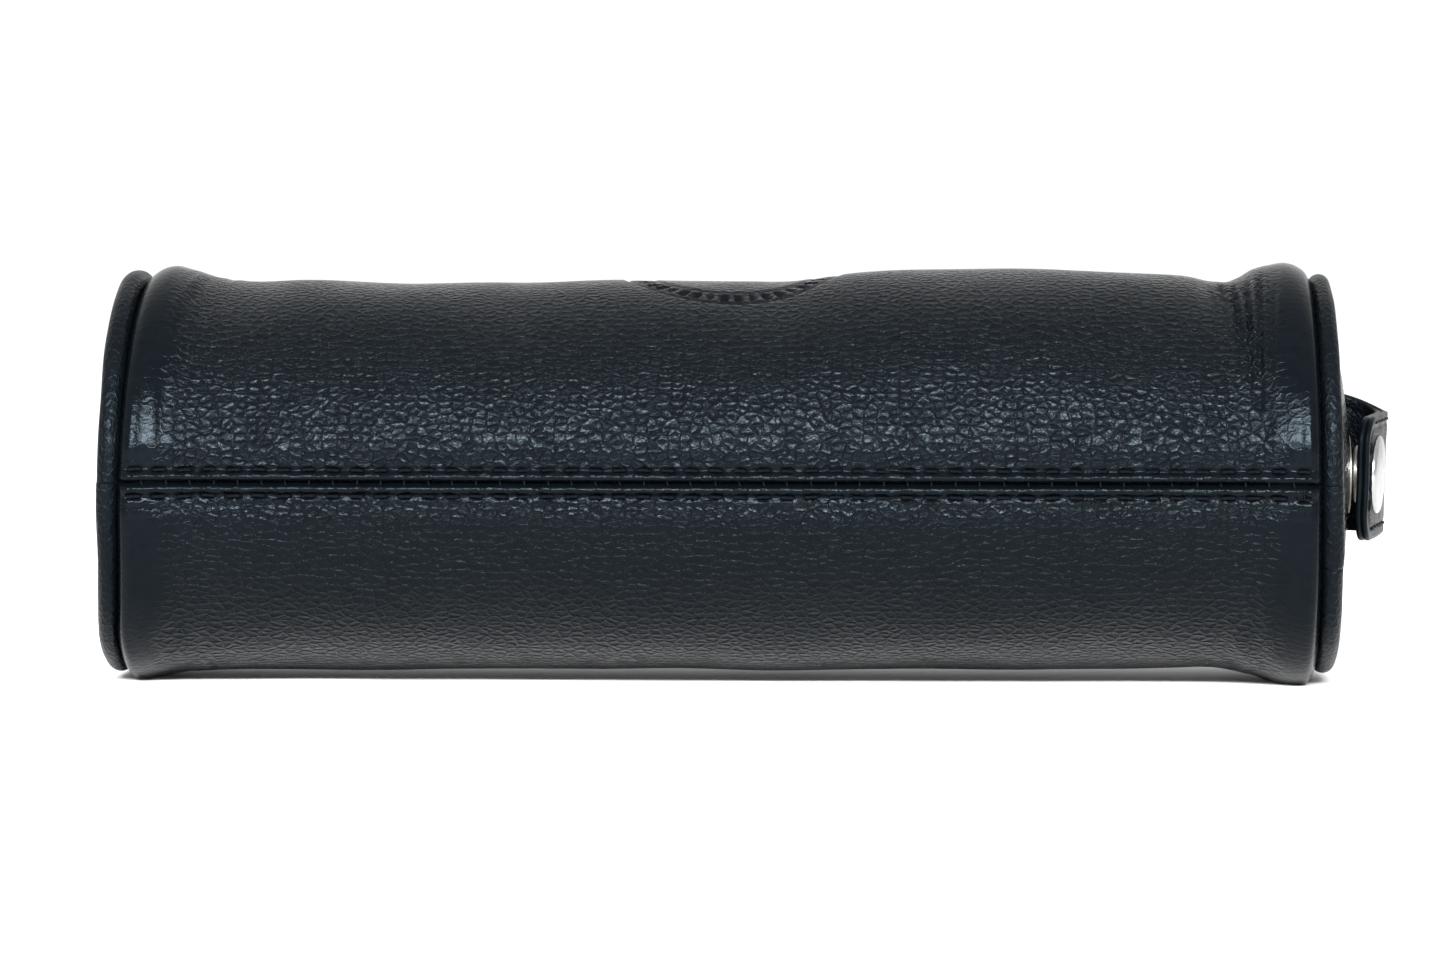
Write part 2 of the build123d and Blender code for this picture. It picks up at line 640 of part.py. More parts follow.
with BuildPart() as pull_tag:
    with BuildSketch(TAG_PLANE):
        Circle(LOOP_RADIUS + TAG_LEAF)
        with Locations((TAG_LENGTH / 2, 0)):
            Rectangle(TAG_LENGTH, 2 * TAG_LEAF)
        with Locations((2.0, 0)):
            Trapezoid(4.0, 2 * TAG_LEAF, 78, rotation=-90, align=(Align.CENTER, Align.CENTER))
        Circle(LOOP_RADIUS, mode=Mode.SUBTRACT)
    extrude(amount=3.2, both=True)
    with BuildSketch(TAG_PLANE):
        with Locations((TAG_LENGTH / 2 + 3.5, 0)):
            Rectangle(TAG_LENGTH - 7, 2 * TAG_LEAF)
    extrude(amount=TAG_WIDTH / 2, both=True)
    fillet(pull_tag.edges().filter_by(Axis.Y).sort_by(Axis.X)[:2], 3.0)
    add(tag_rows, mode=Mode.SUBTRACT)
save(pull_tag.part, "pull_tag")

# ---- The snap tab -------------------------------------------------------------------------------------
HALF_WIDTH = STRAP_WIDTH / 2
FOLD_OUT = Vector(cos(radians(FOLD_ANGLE)), sin(radians(FOLD_ANGLE)))
FOLD_POINT = BEND_CENTRE + FOLD_OUT * (STRAP_BEND + TAB_THICKNESS)


with BuildPart() as fold_score:
    with Locations(at(FOLD_POINT.X, FOLD_POINT.Y, 0)):
        Cylinder(FOLD_SCORE, 2 * STRAP_WIDTH)


def bend_arc(radius, start, end):
    """An arc of the tab's bend between two angles."""
    return CenterArc(BEND_CENTRE, radius, start, end - start)


def tab_leaf(near, far):
    """A leaf of the moving tab between two distances from its inner face, holed for the snap's cap."""
    with BuildPart() as leaf:
        with BuildSketch(END_PLANE):
            with BuildLine():
                inner = bend_arc(STRAP_BEND + near, -STRAP_TILT, FOLD_ANGLE - FOLD_GAP)
                outer = bend_arc(STRAP_BEND + far, -STRAP_TILT, FOLD_ANGLE - FOLD_GAP)
                Line(inner @ 1, outer @ 1)
                Polyline(inner @ 0, TAB_TIP + TILT_OUT * near, TAB_TIP + TILT_OUT * far, outer @ 0)
            make_face()
        extrude(amount=HALF_WIDTH, both=True)
        fillet(leaf.edges().filter_by(Axis((0, 0, 0), TILT_OUT)), 5.0)
        with BuildSketch(snap_plane(-1)):
            Circle(CAP_POST_RADIUS + 0.1)
        extrude(amount=5, mode=Mode.SUBTRACT)
        add(fold_score.part, mode=Mode.SUBTRACT)
    return leaf.part


def foot_leaf(near, far):
    """A leaf of the tab's fixed foot: it lies on the end panel, stands up and runs into the bend."""
    middle_y = (BEND_CENTRE.Y + STRAP_BEND + near + BEND_CENTRE.Y + STRAP_BEND + far) / 2
    with BuildPart() as leaf:
        with BuildSketch(END_PLANE):
            with BuildLine():
                inner = bend_arc(STRAP_BEND + near, FOLD_ANGLE + FOLD_GAP, 90)
                outer = bend_arc(STRAP_BEND + far, FOLD_ANGLE + FOLD_GAP, 90)
                Line(inner @ 0, outer @ 0)
                Line(inner @ 1, outer @ 1)
            make_face()
            with Locations((BEND_CENTRE.X - 3, middle_y)):
                Rectangle(6, far - near)
        extrude(amount=HALF_WIDTH, both=True)
        add(dome_disc(DOME_APEX + near, 80, PANEL_EDGE, 1), mode=Mode.SUBTRACT)
        add(foot_pad(near, far))
        add(fold_score.part, mode=Mode.SUBTRACT)
    return leaf.part


def foot_pad(near, far):
    """The part of the foot that follows the domed end panel."""
    start = BEND_CENTRE.Y + STRAP_BEND + near
    with BuildPart() as pad:
        add(dome_disc(DOME_APEX + far, DOME_APEX + near, PANEL_EDGE + 4, 1))
        with Locations(at(DOME_APEX - 5, (start + FOOT_END) / 2, 0)):
            Box(20, FOOT_END - start, STRAP_WIDTH, mode=Mode.INTERSECT)
    return pad.part


CAP_RADIUS = 6.35
CAP_THICKNESS = 0.95
CAP_POST_RADIUS = 1.4
SOCKET_RADIUS = 4.8
SOCKET_DEPTH = 1.3
SOCKET_BORE = 2.4
SOCKET_FLOOR = 0.3  # metal left between the bore and the tab


def snap_plane(height):
    """A plane square to the snapped tab, a height outside its inner face, on the cap's axis."""
    middle = SNAP + TILT_OUT * height
    return Plane(
        origin=at(middle.X, middle.Y, 0),
        x_dir=(TILT_ALONG.X, TILT_ALONG.Y, 0),
        z_dir=(TILT_OUT.X, TILT_OUT.Y, 0),
    )


# Tab stitches: a row down each long edge of the moving tab, and two rows across the foot.
ROW_INSET = 2.0
tab_rows = []
for z in (-HALF_WIDTH + ROW_INSET, HALF_WIDTH - ROW_INSET):
    spots = [SNAP + TILT_ALONG * (3.2 * i + 2.6 - STRAP_TAIL) + TILT_OUT * TAB_THICKNESS for i in range(7)]
    tab_rows += stitch_row([at(p.X, p.Y, z) for p in spots])
save(Compound(children=tab_rows), "tab_stitches")

FOOT_ROW_START = BEND_CENTRE.Y + STRAP_BEND + TAB_THICKNESS + 1.2


def on_foot(y, z):
    """A point on the foot's outer face."""
    return at(dome_x(DOME_APEX + TAB_THICKNESS, sqrt(y**2 + z**2)), y, z)


foot_rows = []
for y in (FOOT_ROW_START, FOOT_END - 1.2):
    row = [on_foot(y, (i / 3 - 1) * (HALF_WIDTH - ROW_INSET)) for i in range(7)]
    foot_rows += stitch_row(row)
save(Compound(children=foot_rows), "tab_foot_stitches")

save(tab_leaf(0, STRAP_LEAF), "tab_inner_leaf")
save(tab_leaf(STRAP_LEAF, TAB_THICKNESS) - tab_rows, "tab_outer_leaf")
save(foot_leaf(0, STRAP_LEAF), "tab_foot_inner_leaf")
save(foot_leaf(STRAP_LEAF, TAB_THICKNESS) - foot_rows, "tab_foot_outer_leaf")

with BuildPart() as snap_cap:
    with BuildSketch(snap_plane(TAB_THICKNESS)):
        Circle(CAP_RADIUS)
    extrude(amount=CAP_THICKNESS)
    fillet(snap_cap.edges().filter_by(GeomType.CIRCLE).sort_by(Axis.X)[-1], 0.7)
    with BuildSketch(snap_plane(TAB_THICKNESS)):
        Circle(CAP_POST_RADIUS)
    extrude(amount=-TAB_THICKNESS - SOCKET_FLOOR)
save(snap_cap.part, "snap_cap")

with BuildPart() as snap_socket:
    with BuildSketch(snap_plane(0)):
        Circle(SOCKET_RADIUS)
    extrude(amount=-SOCKET_DEPTH)
    fillet(snap_socket.edges().filter_by(GeomType.CIRCLE).sort_by(Axis.X)[0], 0.4)
    with BuildSketch(snap_plane(-SOCKET_FLOOR)):
        Circle(SOCKET_BORE)
    extrude(amount=-SOCKET_DEPTH, mode=Mode.SUBTRACT)
    with BuildSketch(snap_plane(0)):
        Circle(CAP_POST_RADIUS)
    extrude(amount=-SOCKET_DEPTH, mode=Mode.SUBTRACT)
save(snap_socket.part, "snap_socket")

STUD_FLANGE = 0.4
WASHER_X = BOARD_APEX - 1.25  # the riveted washer bears on the inside of the end board
WASHER = 0.5
STUD_HEIGHT = 1.4
with BuildPart() as snap_stud:
    with BuildSketch(stud_plane(STUD_SEAT)):
        Circle(STUD_FLANGE_RADIUS)
    extrude(amount=STUD_FLANGE)
    with BuildSketch(stud_plane(STUD_SEAT)):
        Circle(STUD_POST_RADIUS)
    extrude(amount=STUD_FLANGE + STUD_HEIGHT)
    fillet(snap_stud.edges().filter_by(GeomType.CIRCLE).sort_by(Axis.X)[-1], 0.5)
    with BuildSketch(stud_plane(STUD_SEAT)):
        Circle(STUD_RIVET_RADIUS)
    extrude(amount=WASHER_X - WASHER - STUD_SEAT)
save(snap_stud.part, "snap_stud")

with BuildPart() as snap_washer:
    with BuildSketch(stud_plane(WASHER_X)):
        Circle(4.5)
        Circle(STUD_RIVET_RADIUS, mode=Mode.SUBTRACT)
    extrude(amount=-WASHER)
save(snap_washer.part, "snap_washer")

FOLD = at(FOLD_POINT.X, FOLD_POINT.Y, 0)
print("barrel centre", CENTRE)
print("tab fold at", FOLD)
print("puller pivot at", zip_point(SLIDER_X, PIVOT_RISE))
print("tag bar at", zip_point(TAG_BAR_X, PIVOT_RISE))
print("stud axis at", at(STUD_SEAT, STUD_Y, 0))
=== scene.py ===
"""A black pebbled-leather barrel pouch lying on its side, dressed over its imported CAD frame.

Sizes in the helpers are millimetres from the barrel's middle: x runs along the barrel, theta turns round it
from the sewn seam (-Y) towards the emblem (+Z), and r is the distance from the barrel's axis.
"""

import json
from math import cos, pi, radians, sin, sqrt

import bpy
import numpy as np
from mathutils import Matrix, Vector

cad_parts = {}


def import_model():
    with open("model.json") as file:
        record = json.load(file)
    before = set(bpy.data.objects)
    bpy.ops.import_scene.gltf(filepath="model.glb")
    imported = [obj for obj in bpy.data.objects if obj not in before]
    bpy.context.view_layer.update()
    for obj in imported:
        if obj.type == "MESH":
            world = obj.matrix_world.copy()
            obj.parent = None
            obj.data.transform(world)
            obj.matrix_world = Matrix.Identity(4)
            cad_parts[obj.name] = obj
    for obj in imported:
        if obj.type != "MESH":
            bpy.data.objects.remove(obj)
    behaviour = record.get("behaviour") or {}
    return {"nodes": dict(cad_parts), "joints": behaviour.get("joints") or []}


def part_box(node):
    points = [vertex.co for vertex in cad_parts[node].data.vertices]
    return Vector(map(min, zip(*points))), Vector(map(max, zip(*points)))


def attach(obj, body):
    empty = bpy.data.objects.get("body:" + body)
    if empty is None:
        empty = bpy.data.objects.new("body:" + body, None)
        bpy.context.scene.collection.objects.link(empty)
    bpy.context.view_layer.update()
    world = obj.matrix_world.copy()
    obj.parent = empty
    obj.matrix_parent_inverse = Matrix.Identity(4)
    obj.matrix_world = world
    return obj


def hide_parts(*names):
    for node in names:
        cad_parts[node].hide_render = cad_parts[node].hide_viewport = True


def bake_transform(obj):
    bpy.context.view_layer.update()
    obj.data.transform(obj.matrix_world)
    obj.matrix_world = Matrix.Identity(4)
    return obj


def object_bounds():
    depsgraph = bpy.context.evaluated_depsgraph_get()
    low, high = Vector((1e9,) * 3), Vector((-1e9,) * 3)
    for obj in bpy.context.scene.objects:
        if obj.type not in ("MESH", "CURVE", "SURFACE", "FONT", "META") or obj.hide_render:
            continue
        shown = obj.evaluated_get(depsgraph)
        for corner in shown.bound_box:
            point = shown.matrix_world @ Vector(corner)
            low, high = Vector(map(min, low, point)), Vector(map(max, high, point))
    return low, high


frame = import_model()
cad_low, cad_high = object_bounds()

MM = 0.001
SEED = 7

# ---- Places read from the frame ------------------------------------------------------------------------
left_low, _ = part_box("left_piping")
right_low, right_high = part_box("right_piping")
CENTRE = (left_low + right_high) / 2
HALF_LENGTH = (right_high.x - left_low.x) / 2 / MM
WALL_END = HALF_LENGTH - (right_high.x - right_low.x) / MM
GROUND = cad_low.z
JOINTS = {joint["name"]: joint for joint in frame["joints"]}


def local(point):
    """A point of the row frame as millimetres from the barrel's middle."""
    return (Vector(point) - CENTRE) / MM


def world(points):
    """Millimetres from the barrel's middle, as metres in the row frame."""
    return np.asarray(points, float) * MM + np.array(CENTRE)


def barrel(x, theta, r):
    """Points on the barrel, stacked on a last axis, in millimetres."""
    x, theta, r = np.broadcast_arrays(x, theta, r)
    return np.stack([x, -r * np.cos(theta), r * np.sin(theta)], axis=-1)


# ---- Small tools for surfaces --------------------------------------------------------------------------
def smoothstep(low, high, value):
    t = np.clip((value - low) / (high - low), 0, 1)
    return t * t * (3 - 2 * t)


def bump(value, width):
    """A rounded bump that is 1 at value 0."""
    return np.exp(-((value / width) ** 2))


def ripples(u, v, length, seed, count=9):
    """A gentle random surface between about -1 and 1, with hills about a length apart."""
    rng = np.random.default_rng(SEED + seed)
    total = 0
    for _ in range(count):
        angle, phase = rng.uniform(0, 2 * pi, 2)
        k = 2 * pi / (length * rng.uniform(0.7, 1.6))
        total = total + np.sin(k * (u * cos(angle) + v * sin(angle)) + phase)
    return total / sqrt(count)


def graded(stops):
    """Places along a line, from (end, spacing) stops after the first place."""
    places = [stops[0]]
    for end, spacing in stops[1:]:
        steps = max(1, round((end - places[-1]) / spacing))
        places += list(np.linspace(places[-1], end, steps + 1)[1:])
    return np.array(places)


def curve_through(points, x):
    """A smooth curve through (x, y) points, read at x."""
    px, py = np.array(points, float).T
    slope = np.gradient(py, px)
    i = np.clip(np.searchsorted(px, x) - 1, 0, len(px) - 2)
    h = px[i + 1] - px[i]
    t = np.clip((x - px[i]) / h, 0, 1)
    return (
        py[i] * (1 + 2 * t) * (1 - t) ** 2
        + slope[i] * h * t * (1 - t) ** 2
        + py[i + 1] * t * t * (3 - 2 * t)
        + slope[i + 1] * h * t * t * (t - 1)
    )


def faces_of(rows, columns, close_rows=False, close_columns=False):
    """Quads of a grid whose points are numbered row by row."""
    i = np.arange(rows if close_rows else rows - 1)
    j = np.arange(columns if close_columns else columns - 1)
    a, b = np.meshgrid(i, j, indexing="ij")
    a2, b2 = (a + 1) % rows, (b + 1) % columns
    quads = np.stack([a * columns + b, a2 * columns + b, a2 * columns + b2, a * columns + b2], axis=-1)
    return quads.reshape(-1, 4)


def mesh_piece(name, points, quads, material, uv=None, masks=None, flip=False):
    """A smooth mesh object from points in metres. uv is in centimetres of leather; masks are named floats."""
    points = np.asarray(points, float).reshape(-1, 3)
    quads = np.asarray(quads)
    if flip:
        quads = quads[:, ::-1]
    mesh = bpy.data.meshes.new(name)
    mesh.vertices.add(len(points))
    mesh.vertices.foreach_set("co", points.astype(np.float32).ravel())
    mesh.loops.add(quads.size)
    mesh.loops.foreach_set("vertex_index", quads.astype(np.int32).ravel())
    mesh.polygons.add(len(quads))
    mesh.polygons.foreach_set("loop_start", np.arange(0, quads.size, quads.shape[1], dtype=np.int32))
    mesh.polygons.foreach_set("use_smooth", np.ones(len(quads), dtype=bool))
    if uv is not None:
        layer = mesh.uv_layers.new(name="leather")
        corners = np.asarray(uv, float).reshape(-1, 2)[quads.ravel()]
        layer.data.foreach_set("uv", corners.astype(np.float32).ravel())
    for key, values in (masks or {}).items():
        attribute = mesh.attributes.new(key, "FLOAT", "POINT")
        attribute.data.foreach_set("value", np.asarray(values, float).ravel().astype(np.float32))
    mesh.update(calc_edges=True)
    mesh.validate()
    mesh.materials.append(material)
    piece = bpy.data.objects.new(name, mesh)
    bpy.context.scene.collection.objects.link(piece)
    return piece


def join_grids(grids):
    """Points and quads of several grids as one list. Each grid is (points, quads)."""
    points, quads, start = [], [], 0
    for grid_points, grid_quads in grids:
        grid_points = np.asarray(grid_points).reshape(-1, 3)
        points.append(grid_points)
        quads.append(np.asarray(grid_quads) + start)
        start += len(grid_points)
    return np.concatenate(points), np.concatenate(quads)


# ---- Materials -----------------------------------------------------------------------------------------
class Nodes:
    """Builds one material's node tree with short calls."""

    def __init__(self, name):
        self.material = bpy.data.materials.new(name)
        self.material.use_nodes = True
        self.tree = self.material.node_tree
        self.shader = next(n for n in self.tree.nodes if n.type == "BSDF_PRINCIPLED")

    def node(self, kind, settings=None, **inputs):
        """Adds a node. Settings are its properties, and inputs are values or sockets for its own sockets."""
        made = self.tree.nodes.new(kind)
        for key, value in (settings or {}).items():
            setattr(made, key, value)
        for key, value in inputs.items():
            socket = made.inputs[int(key[1:])] if key[1:].isdigit() else made.inputs[key.replace("_", " ")]
            self.put(socket, value)
        return made

    def put(self, socket, value):
        if isinstance(value, bpy.types.NodeSocket):
            self.tree.links.new(value, socket)
        else:
            socket.default_value = value

    def math(self, operation, a, b=0.0, c=0.0):
        return self.node("ShaderNodeMath", {"operation": operation}, i0=a, i1=b, i2=c).outputs[0]

    def smooth_range(self, value, low, high, to_low=0.0, to_high=1.0):
        settings = {"interpolation_type": "SMOOTHSTEP"}
        limits = {"From_Min": low, "From_Max": high, "To_Min": to_low, "To_Max": to_high}
        made = self.node("ShaderNodeMapRange", settings, Value=value, **limits)
        return made.outputs["Result"]

    def mix_color(self, factor, a, b):
        made = self.tree.nodes.new("ShaderNodeMix")
        made.data_type = "RGBA"
        for index, value in ((0, factor), (6, a), (7, b)):
            self.put(made.inputs[index], value)
        return made.outputs[2]

    def attribute(self, name):
        return self.node("ShaderNodeAttribute", {"attribute_name": name}).outputs["Fac"]

    def set(self, **values):
        for key, value in values.items():
            self.put(self.shader.inputs[key.replace("_", " ")], value)

    def height(self, height):
        """Feeds a height in metres to the shader as bump."""
        made = self.node("ShaderNodeBump", Strength=1.0, Distance=1.0, Height=height)
        self.tree.links.new(made.outputs["Normal"], self.shader.inputs["Normal"])


BLACK = (0.0014, 0.0021, 0.0029, 1)
SHINE = (0.68, 0.86, 1.0, 1)  # the black finish reflects a little blue
CELL_MM = 1.55  # a pebble of the grain


def leather(name, cell=CELL_MM, depth=1.0, color=BLACK, roughness=0.145):
    """Black pebbled leather: domed cells between narrow creases, fine wrinkles across them, and a fine grain.

    The grain attribute, from 0 where the leather is stretched smooth to 1, scales the pebbles.
    """
    m = Nodes(name)
    place = m.node("ShaderNodeUVMap", {"uv_map": "leather"}).outputs["UV"]
    # Cells wander a little, so no crease is straight.
    wander = m.node("ShaderNodeTexNoise", Vector=place, Scale=8.0, Detail=2.0).outputs["Color"]
    half = (0.5, 0.5, 0.5)
    shift = m.node("ShaderNodeVectorMath", {"operation": "SUBTRACT"}, i0=wander, i1=half).outputs[0]
    shift = m.node("ShaderNodeVectorMath", {"operation": "SCALE"}, i0=shift, Scale=0.07).outputs[0]
    bent = m.node("ShaderNodeVectorMath", {"operation": "ADD"}, i0=place, i1=shift).outputs[0]
    bent = m.node("ShaderNodeVectorMath", {"operation": "MULTIPLY"}, i0=bent, i1=(0.84, 1.14, 1.0)).outputs[0]
    scale = 10.0 / cell
    edge = {"voronoi_dimensions": "2D", "feature": "DISTANCE_TO_EDGE"}
    near = {"voronoi_dimensions": "2D", "feature": "F1"}
    big = m.node("ShaderNodeTexVoronoi", edge, Vector=bent, Scale=scale, Randomness=0.85).outputs["Distance"]
    small = m.node("ShaderNodeTexVoronoi", edge, Vector=bent, Scale=scale * 2.3, Randomness=1.0)
    small = small.outputs["Distance"]
    tone = m.node("ShaderNodeTexVoronoi", near, Vector=bent, Scale=scale, Randomness=0.85)
    tone = m.node("ShaderNodeSeparateColor", i0=tone.outputs["Color"]).outputs[0]
    dome = m.smooth_range(big, 0.0, 0.4)
    crease = m.smooth_range(big, 0.0, 0.1)
    fine = m.smooth_range(small, 0.0, 0.13)
    speckle = m.node("ShaderNodeTexNoise", Vector=place, Scale=17.0, Detail=4.0, Roughness=0.6).outputs["Fac"]
    broad = m.node("ShaderNodeTexNoise", Vector=place, Scale=1.7, Detail=3.0).outputs["Fac"]
    amount = m.attribute("grain")
    # The cells differ in height, and the grain is deeper in some places than others.
    cell_height = m.math("MULTIPLY", dome, m.math("MULTIPLY_ADD", tone, 0.08, 0.05))
    height = m.math("MULTIPLY_ADD", crease, 0.085, cell_height)
    height = m.math("MULTIPLY_ADD", fine, 0.026, height)
    strength = m.smooth_range(broad, 0.3, 0.7, 0.8, 1.15)
    height = m.math("MULTIPLY", height, m.math("MULTIPLY", strength, amount))
    height = m.math("MULTIPLY_ADD", speckle, 0.055, height)
    m.height(m.math("MULTIPLY", height, depth * MM))
    in_crease = m.math("MULTIPLY", m.math("SUBTRACT", 1.0, crease), amount)
    darkest = tuple(0.6 * c for c in color[:3]) + (1,)
    m.set(Base_Color=m.mix_color(m.math("MULTIPLY", tone, 0.6), color, darkest))
    rough = m.smooth_range(broad, 0.25, 0.75, roughness - 0.03, roughness + 0.05)
    m.set(Roughness=m.math("MULTIPLY_ADD", in_crease, 0.1, rough))
    m.set(Specular_IOR_Level=0.074, IOR=1.45, Specular_Tint=SHINE)
    return m.material


def thread_material():
    """Black bonded thread: tight twist lines and a dull shine."""
    m = Nodes("black_thread")
    place = m.node("ShaderNodeUVMap", {"uv_map": "leather"}).outputs["UV"]
    wave = {"wave_type": "BANDS", "bands_direction": "DIAGONAL"}
    twist = m.node("ShaderNodeTexWave", wave, Vector=place, Scale=5.0, Distortion=0.6).outputs["Fac"]
    fuzz = m.node("ShaderNodeTexNoise", Vector=place, Scale=60.0, Detail=3.0).outputs["Fac"]
    m.height(m.math("MULTIPLY", m.math("MULTIPLY_ADD", fuzz, 0.5, twist), 0.05 * MM))
    # the twist grooves are coloured darker than the strands: painted shade in the thread's hollows
    m.set(Base_Color=m.mix_color(twist, (0.001, 0.0013, 0.0017, 1), (0.003, 0.0038, 0.0048, 1)))
    m.set(Roughness=0.45, Specular_IOR_Level=0.05, Specular_Tint=SHINE)
    return m.material


def metal(name, color, roughness, scratches=0.5):
    """Plated metal with fine wear scratches and slightly uneven shine."""
    m = Nodes(name)
    coordinates = m.node("ShaderNodeTexCoord").outputs["Object"]
    place = m.node("ShaderNodeVectorMath", {"operation": "SCALE"}, i0=coordinates, Scale=1000.0).outputs[0]
    stretch = (0.2, 1.0, 4.0)
    long_way = m.node("ShaderNodeVectorMath", {"operation": "MULTIPLY"}, i0=place, i1=stretch).outputs[0]
    fine = m.node("ShaderNodeTexNoise", Vector=long_way, Scale=2.2, Detail=5.0, Roughness=0.7).outputs["Fac"]
    cloudy = m.node("ShaderNodeTexNoise", Vector=place, Scale=0.35, Detail=3.0).outputs["Fac"]
    m.height(m.math("MULTIPLY", fine, scratches * 0.004 * MM))
    m.set(Roughness=m.smooth_range(cloudy, 0.3, 0.7, roughness * 0.8, roughness * 1.35))
    darker = tuple(0.8 * c for c in color) + (1,)
    m.set(Base_Color=m.mix_color(m.smooth_range(cloudy, 0.35, 0.75), (*color, 1), darker), Metallic=1.0)
    return m.material


def woven(name, color, pitch=0.5):
    """A tight woven tape: warp and weft ribs a pitch apart, in millimetres."""
    m = Nodes(name)
    place = m.node("ShaderNodeUVMap", {"uv_map": "leather"}).outputs["UV"]
    turns = 10.0 / pitch / 2 / pi
    warp = {"wave_type": "BANDS", "bands_direction": "X"}
    weft = {"wave_type": "BANDS", "bands_direction": "Y"}
    a = m.node("ShaderNodeTexWave", warp, Vector=place, Scale=turns, Distortion=0.3).outputs["Fac"]
    b = m.node("ShaderNodeTexWave", weft, Vector=place, Scale=turns, Distortion=0.3).outputs["Fac"]
    rib = m.math("MULTIPLY", a, b)
    fuzz = m.node("ShaderNodeTexNoise", Vector=place, Scale=70.0, Detail=3.0).outputs["Fac"]
    m.height(m.math("MULTIPLY", m.math("MULTIPLY_ADD", fuzz, 0.4, rib), 0.12 * MM))
    # the colour darkens where the ribs sink: painted shade in the weave's hollows
    low = tuple(0.45 * c for c in color) + (1,)
    m.set(Base_Color=m.mix_color(rib, low, (*color, 1)), Roughness=0.85, Specular_IOR_Level=0.25)
    m.set(Sheen_Weight=0.15, Sheen_Roughness=0.5)
    return m.material


WALL_LEATHER = leather("wall_leather")
PIPING_LEATHER = leather("piping_leather", cell=1.2, depth=0.45, roughness=0.3)
TAB_LEATHER = leather("tab_leather", cell=1.0, depth=0.5, roughness=0.34)
THREAD = thread_material()
NICKEL = metal("polished_nickel", (0.34, 0.345, 0.335), 0.2)
# a darker, rougher copy of the polished nickel: the darker colour is painted shade, for metal that sits in
# shade between the tab and the end panel
SHADED_NICKEL = metal("shaded_nickel", (0.24, 0.235, 0.22), 0.42)
ZIP_METAL = metal("zipper_nickel", (0.36, 0.36, 0.36), 0.3, scratches=1.5)
TAPE = woven("zipper_tape", (0.02, 0.02, 0.022))

# ---- The camera, the floor and the lights --------------------------------------------------------------
VIEW_AZIMUTH, VIEW_ELEVATION, VIEW_DISTANCE = 2.4, 3.5, 0.9
FOCAL_LENGTH = 134.4
SENSOR_WIDTH = 36.0
AIM = CENTRE + Vector((-0.25, 0.0, -1.6)) * MM
FLOOR_REACH = 6.0
KEY_LIGHT = {"azimuth": -1, "elevation": 26, "distance": 1.3, "width": 1.05, "height": 0.23, "watts": 76}
SKY_STRENGTH = 1.12


def towards(azimuth, elevation):
    """The direction from the pouch at an azimuth, where 0 is -Y, and an elevation."""
    a, e = radians(azimuth), radians(elevation)
    return Vector((sin(a) * cos(e), -cos(a) * cos(e), sin(e)))


def look_from(thing, place, at):
    """Puts a camera or a light at a place, facing a point."""
    thing.location = place
    thing.rotation_mode = "QUATERNION"
    thing.rotation_quaternion = (at - place).to_track_quat("-Z", "Y")


def make_camera():
    camera = bpy.data.objects.new("camera", bpy.data.cameras.new("camera"))
    camera.data.lens = FOCAL_LENGTH
    camera.data.sensor_width = SENSOR_WIDTH
    camera.data.clip_start, camera.data.clip_end = 0.05, 20
    look_from(camera, AIM + towards(VIEW_AZIMUTH, VIEW_ELEVATION) * VIEW_DISTANCE, AIM)
    bpy.context.scene.collection.objects.link(camera)
    bpy.context.scene.camera = camera


def softbox(name, azimuth, elevation, distance, width, height, watts):
    """A rectangular light that faces the pouch's middle, with its sizes in metres."""
    data = bpy.data.lights.new(name, "AREA")
    data.shape = "RECTANGLE"
    data.size, data.size_y = width, height
    data.energy = watts
    light = bpy.data.objects.new(name, data)
    look_from(light, CENTRE + towards(azimuth, elevation) * distance, CENTRE)
    bpy.context.scene.collection.objects.link(light)


def make_floor():
    """A large pale sweep that the pouch lies on."""
    corners = [
        (-FLOOR_REACH, -FLOOR_REACH, GROUND),
        (FLOOR_REACH, -FLOOR_REACH, GROUND),
        (FLOOR_REACH, FLOOR_REACH, GROUND),
        (-FLOOR_REACH, FLOOR_REACH, GROUND),
    ]
    m = Nodes("pale_floor")
    m.set(Base_Color=(0.9, 0.9, 0.9, 1), Roughness=0.9, Specular_IOR_Level=0.1)
    floor = mesh_piece("floor", corners, [[0, 1, 2, 3]], m.material)


def make_lights():
    softbox("key", **KEY_LIGHT)
    world_light = bpy.data.worlds.new("studio")
    bpy.context.scene.world = world_light
    world_light.use_nodes = True
    world_light.node_tree.nodes["Background"].inputs["Color"].default_value = (1, 1, 1, 1)
    world_light.node_tree.nodes["Background"].inputs["Strength"].default_value = SKY_STRENGTH


make_camera()
make_floor()
make_lights()
bpy.context.scene.view_settings.view_transform = "Standard"

# ---- The barrel's shape --------------------------------------------------------------------------------
# The stuffed wall seen from the side: bands by the pipings, a waist beside each, and a middle that is
# fuller towards the right-hand end on top and flatter underneath.
TOP_LINE = [
    (-96.6, 31.4), (-95.6, 32.7), (-94.1, 33.8), (-92.5, 34.25), (-89.1, 33.5), (-85.1, 32.2), (-81.1, 31.7),
    (-70.0, 31.9), (-60.0, 31.7), (-35.0, 31.5), (-12.0, 32.0), (3.0, 31.6), (11.0, 31.9), (17.0, 32.7),
    (29.0, 33.5), (39.0, 33.9), (54.0, 33.8), (69.0, 33.2), (76.0, 32.7), (82.0, 31.7), (84.5, 32.2),
    (87.0, 33.7), (90.0, 34.6), (92.6, 34.95), (94.5, 34.4), (95.8, 33.4), (96.6, 32.0),
]
BOTTOM_LINE = [
    (-96.6, 33.0), (-95.4, 34.6), (-93.5, 34.9), (-91.0, 34.4), (-87.0, 33.7), (-83.0, 33.4), (-70.0, 33.2),
    (-50.0, 33.0), (9.0, 32.9), (49.0, 32.7), (74.0, 32.4), (81.0, 32.5), (85.0, 33.2), (88.0, 33.9),
    (91.0, 34.9), (94.0, 35.4), (95.6, 35.0), (96.6, 33.6),
]
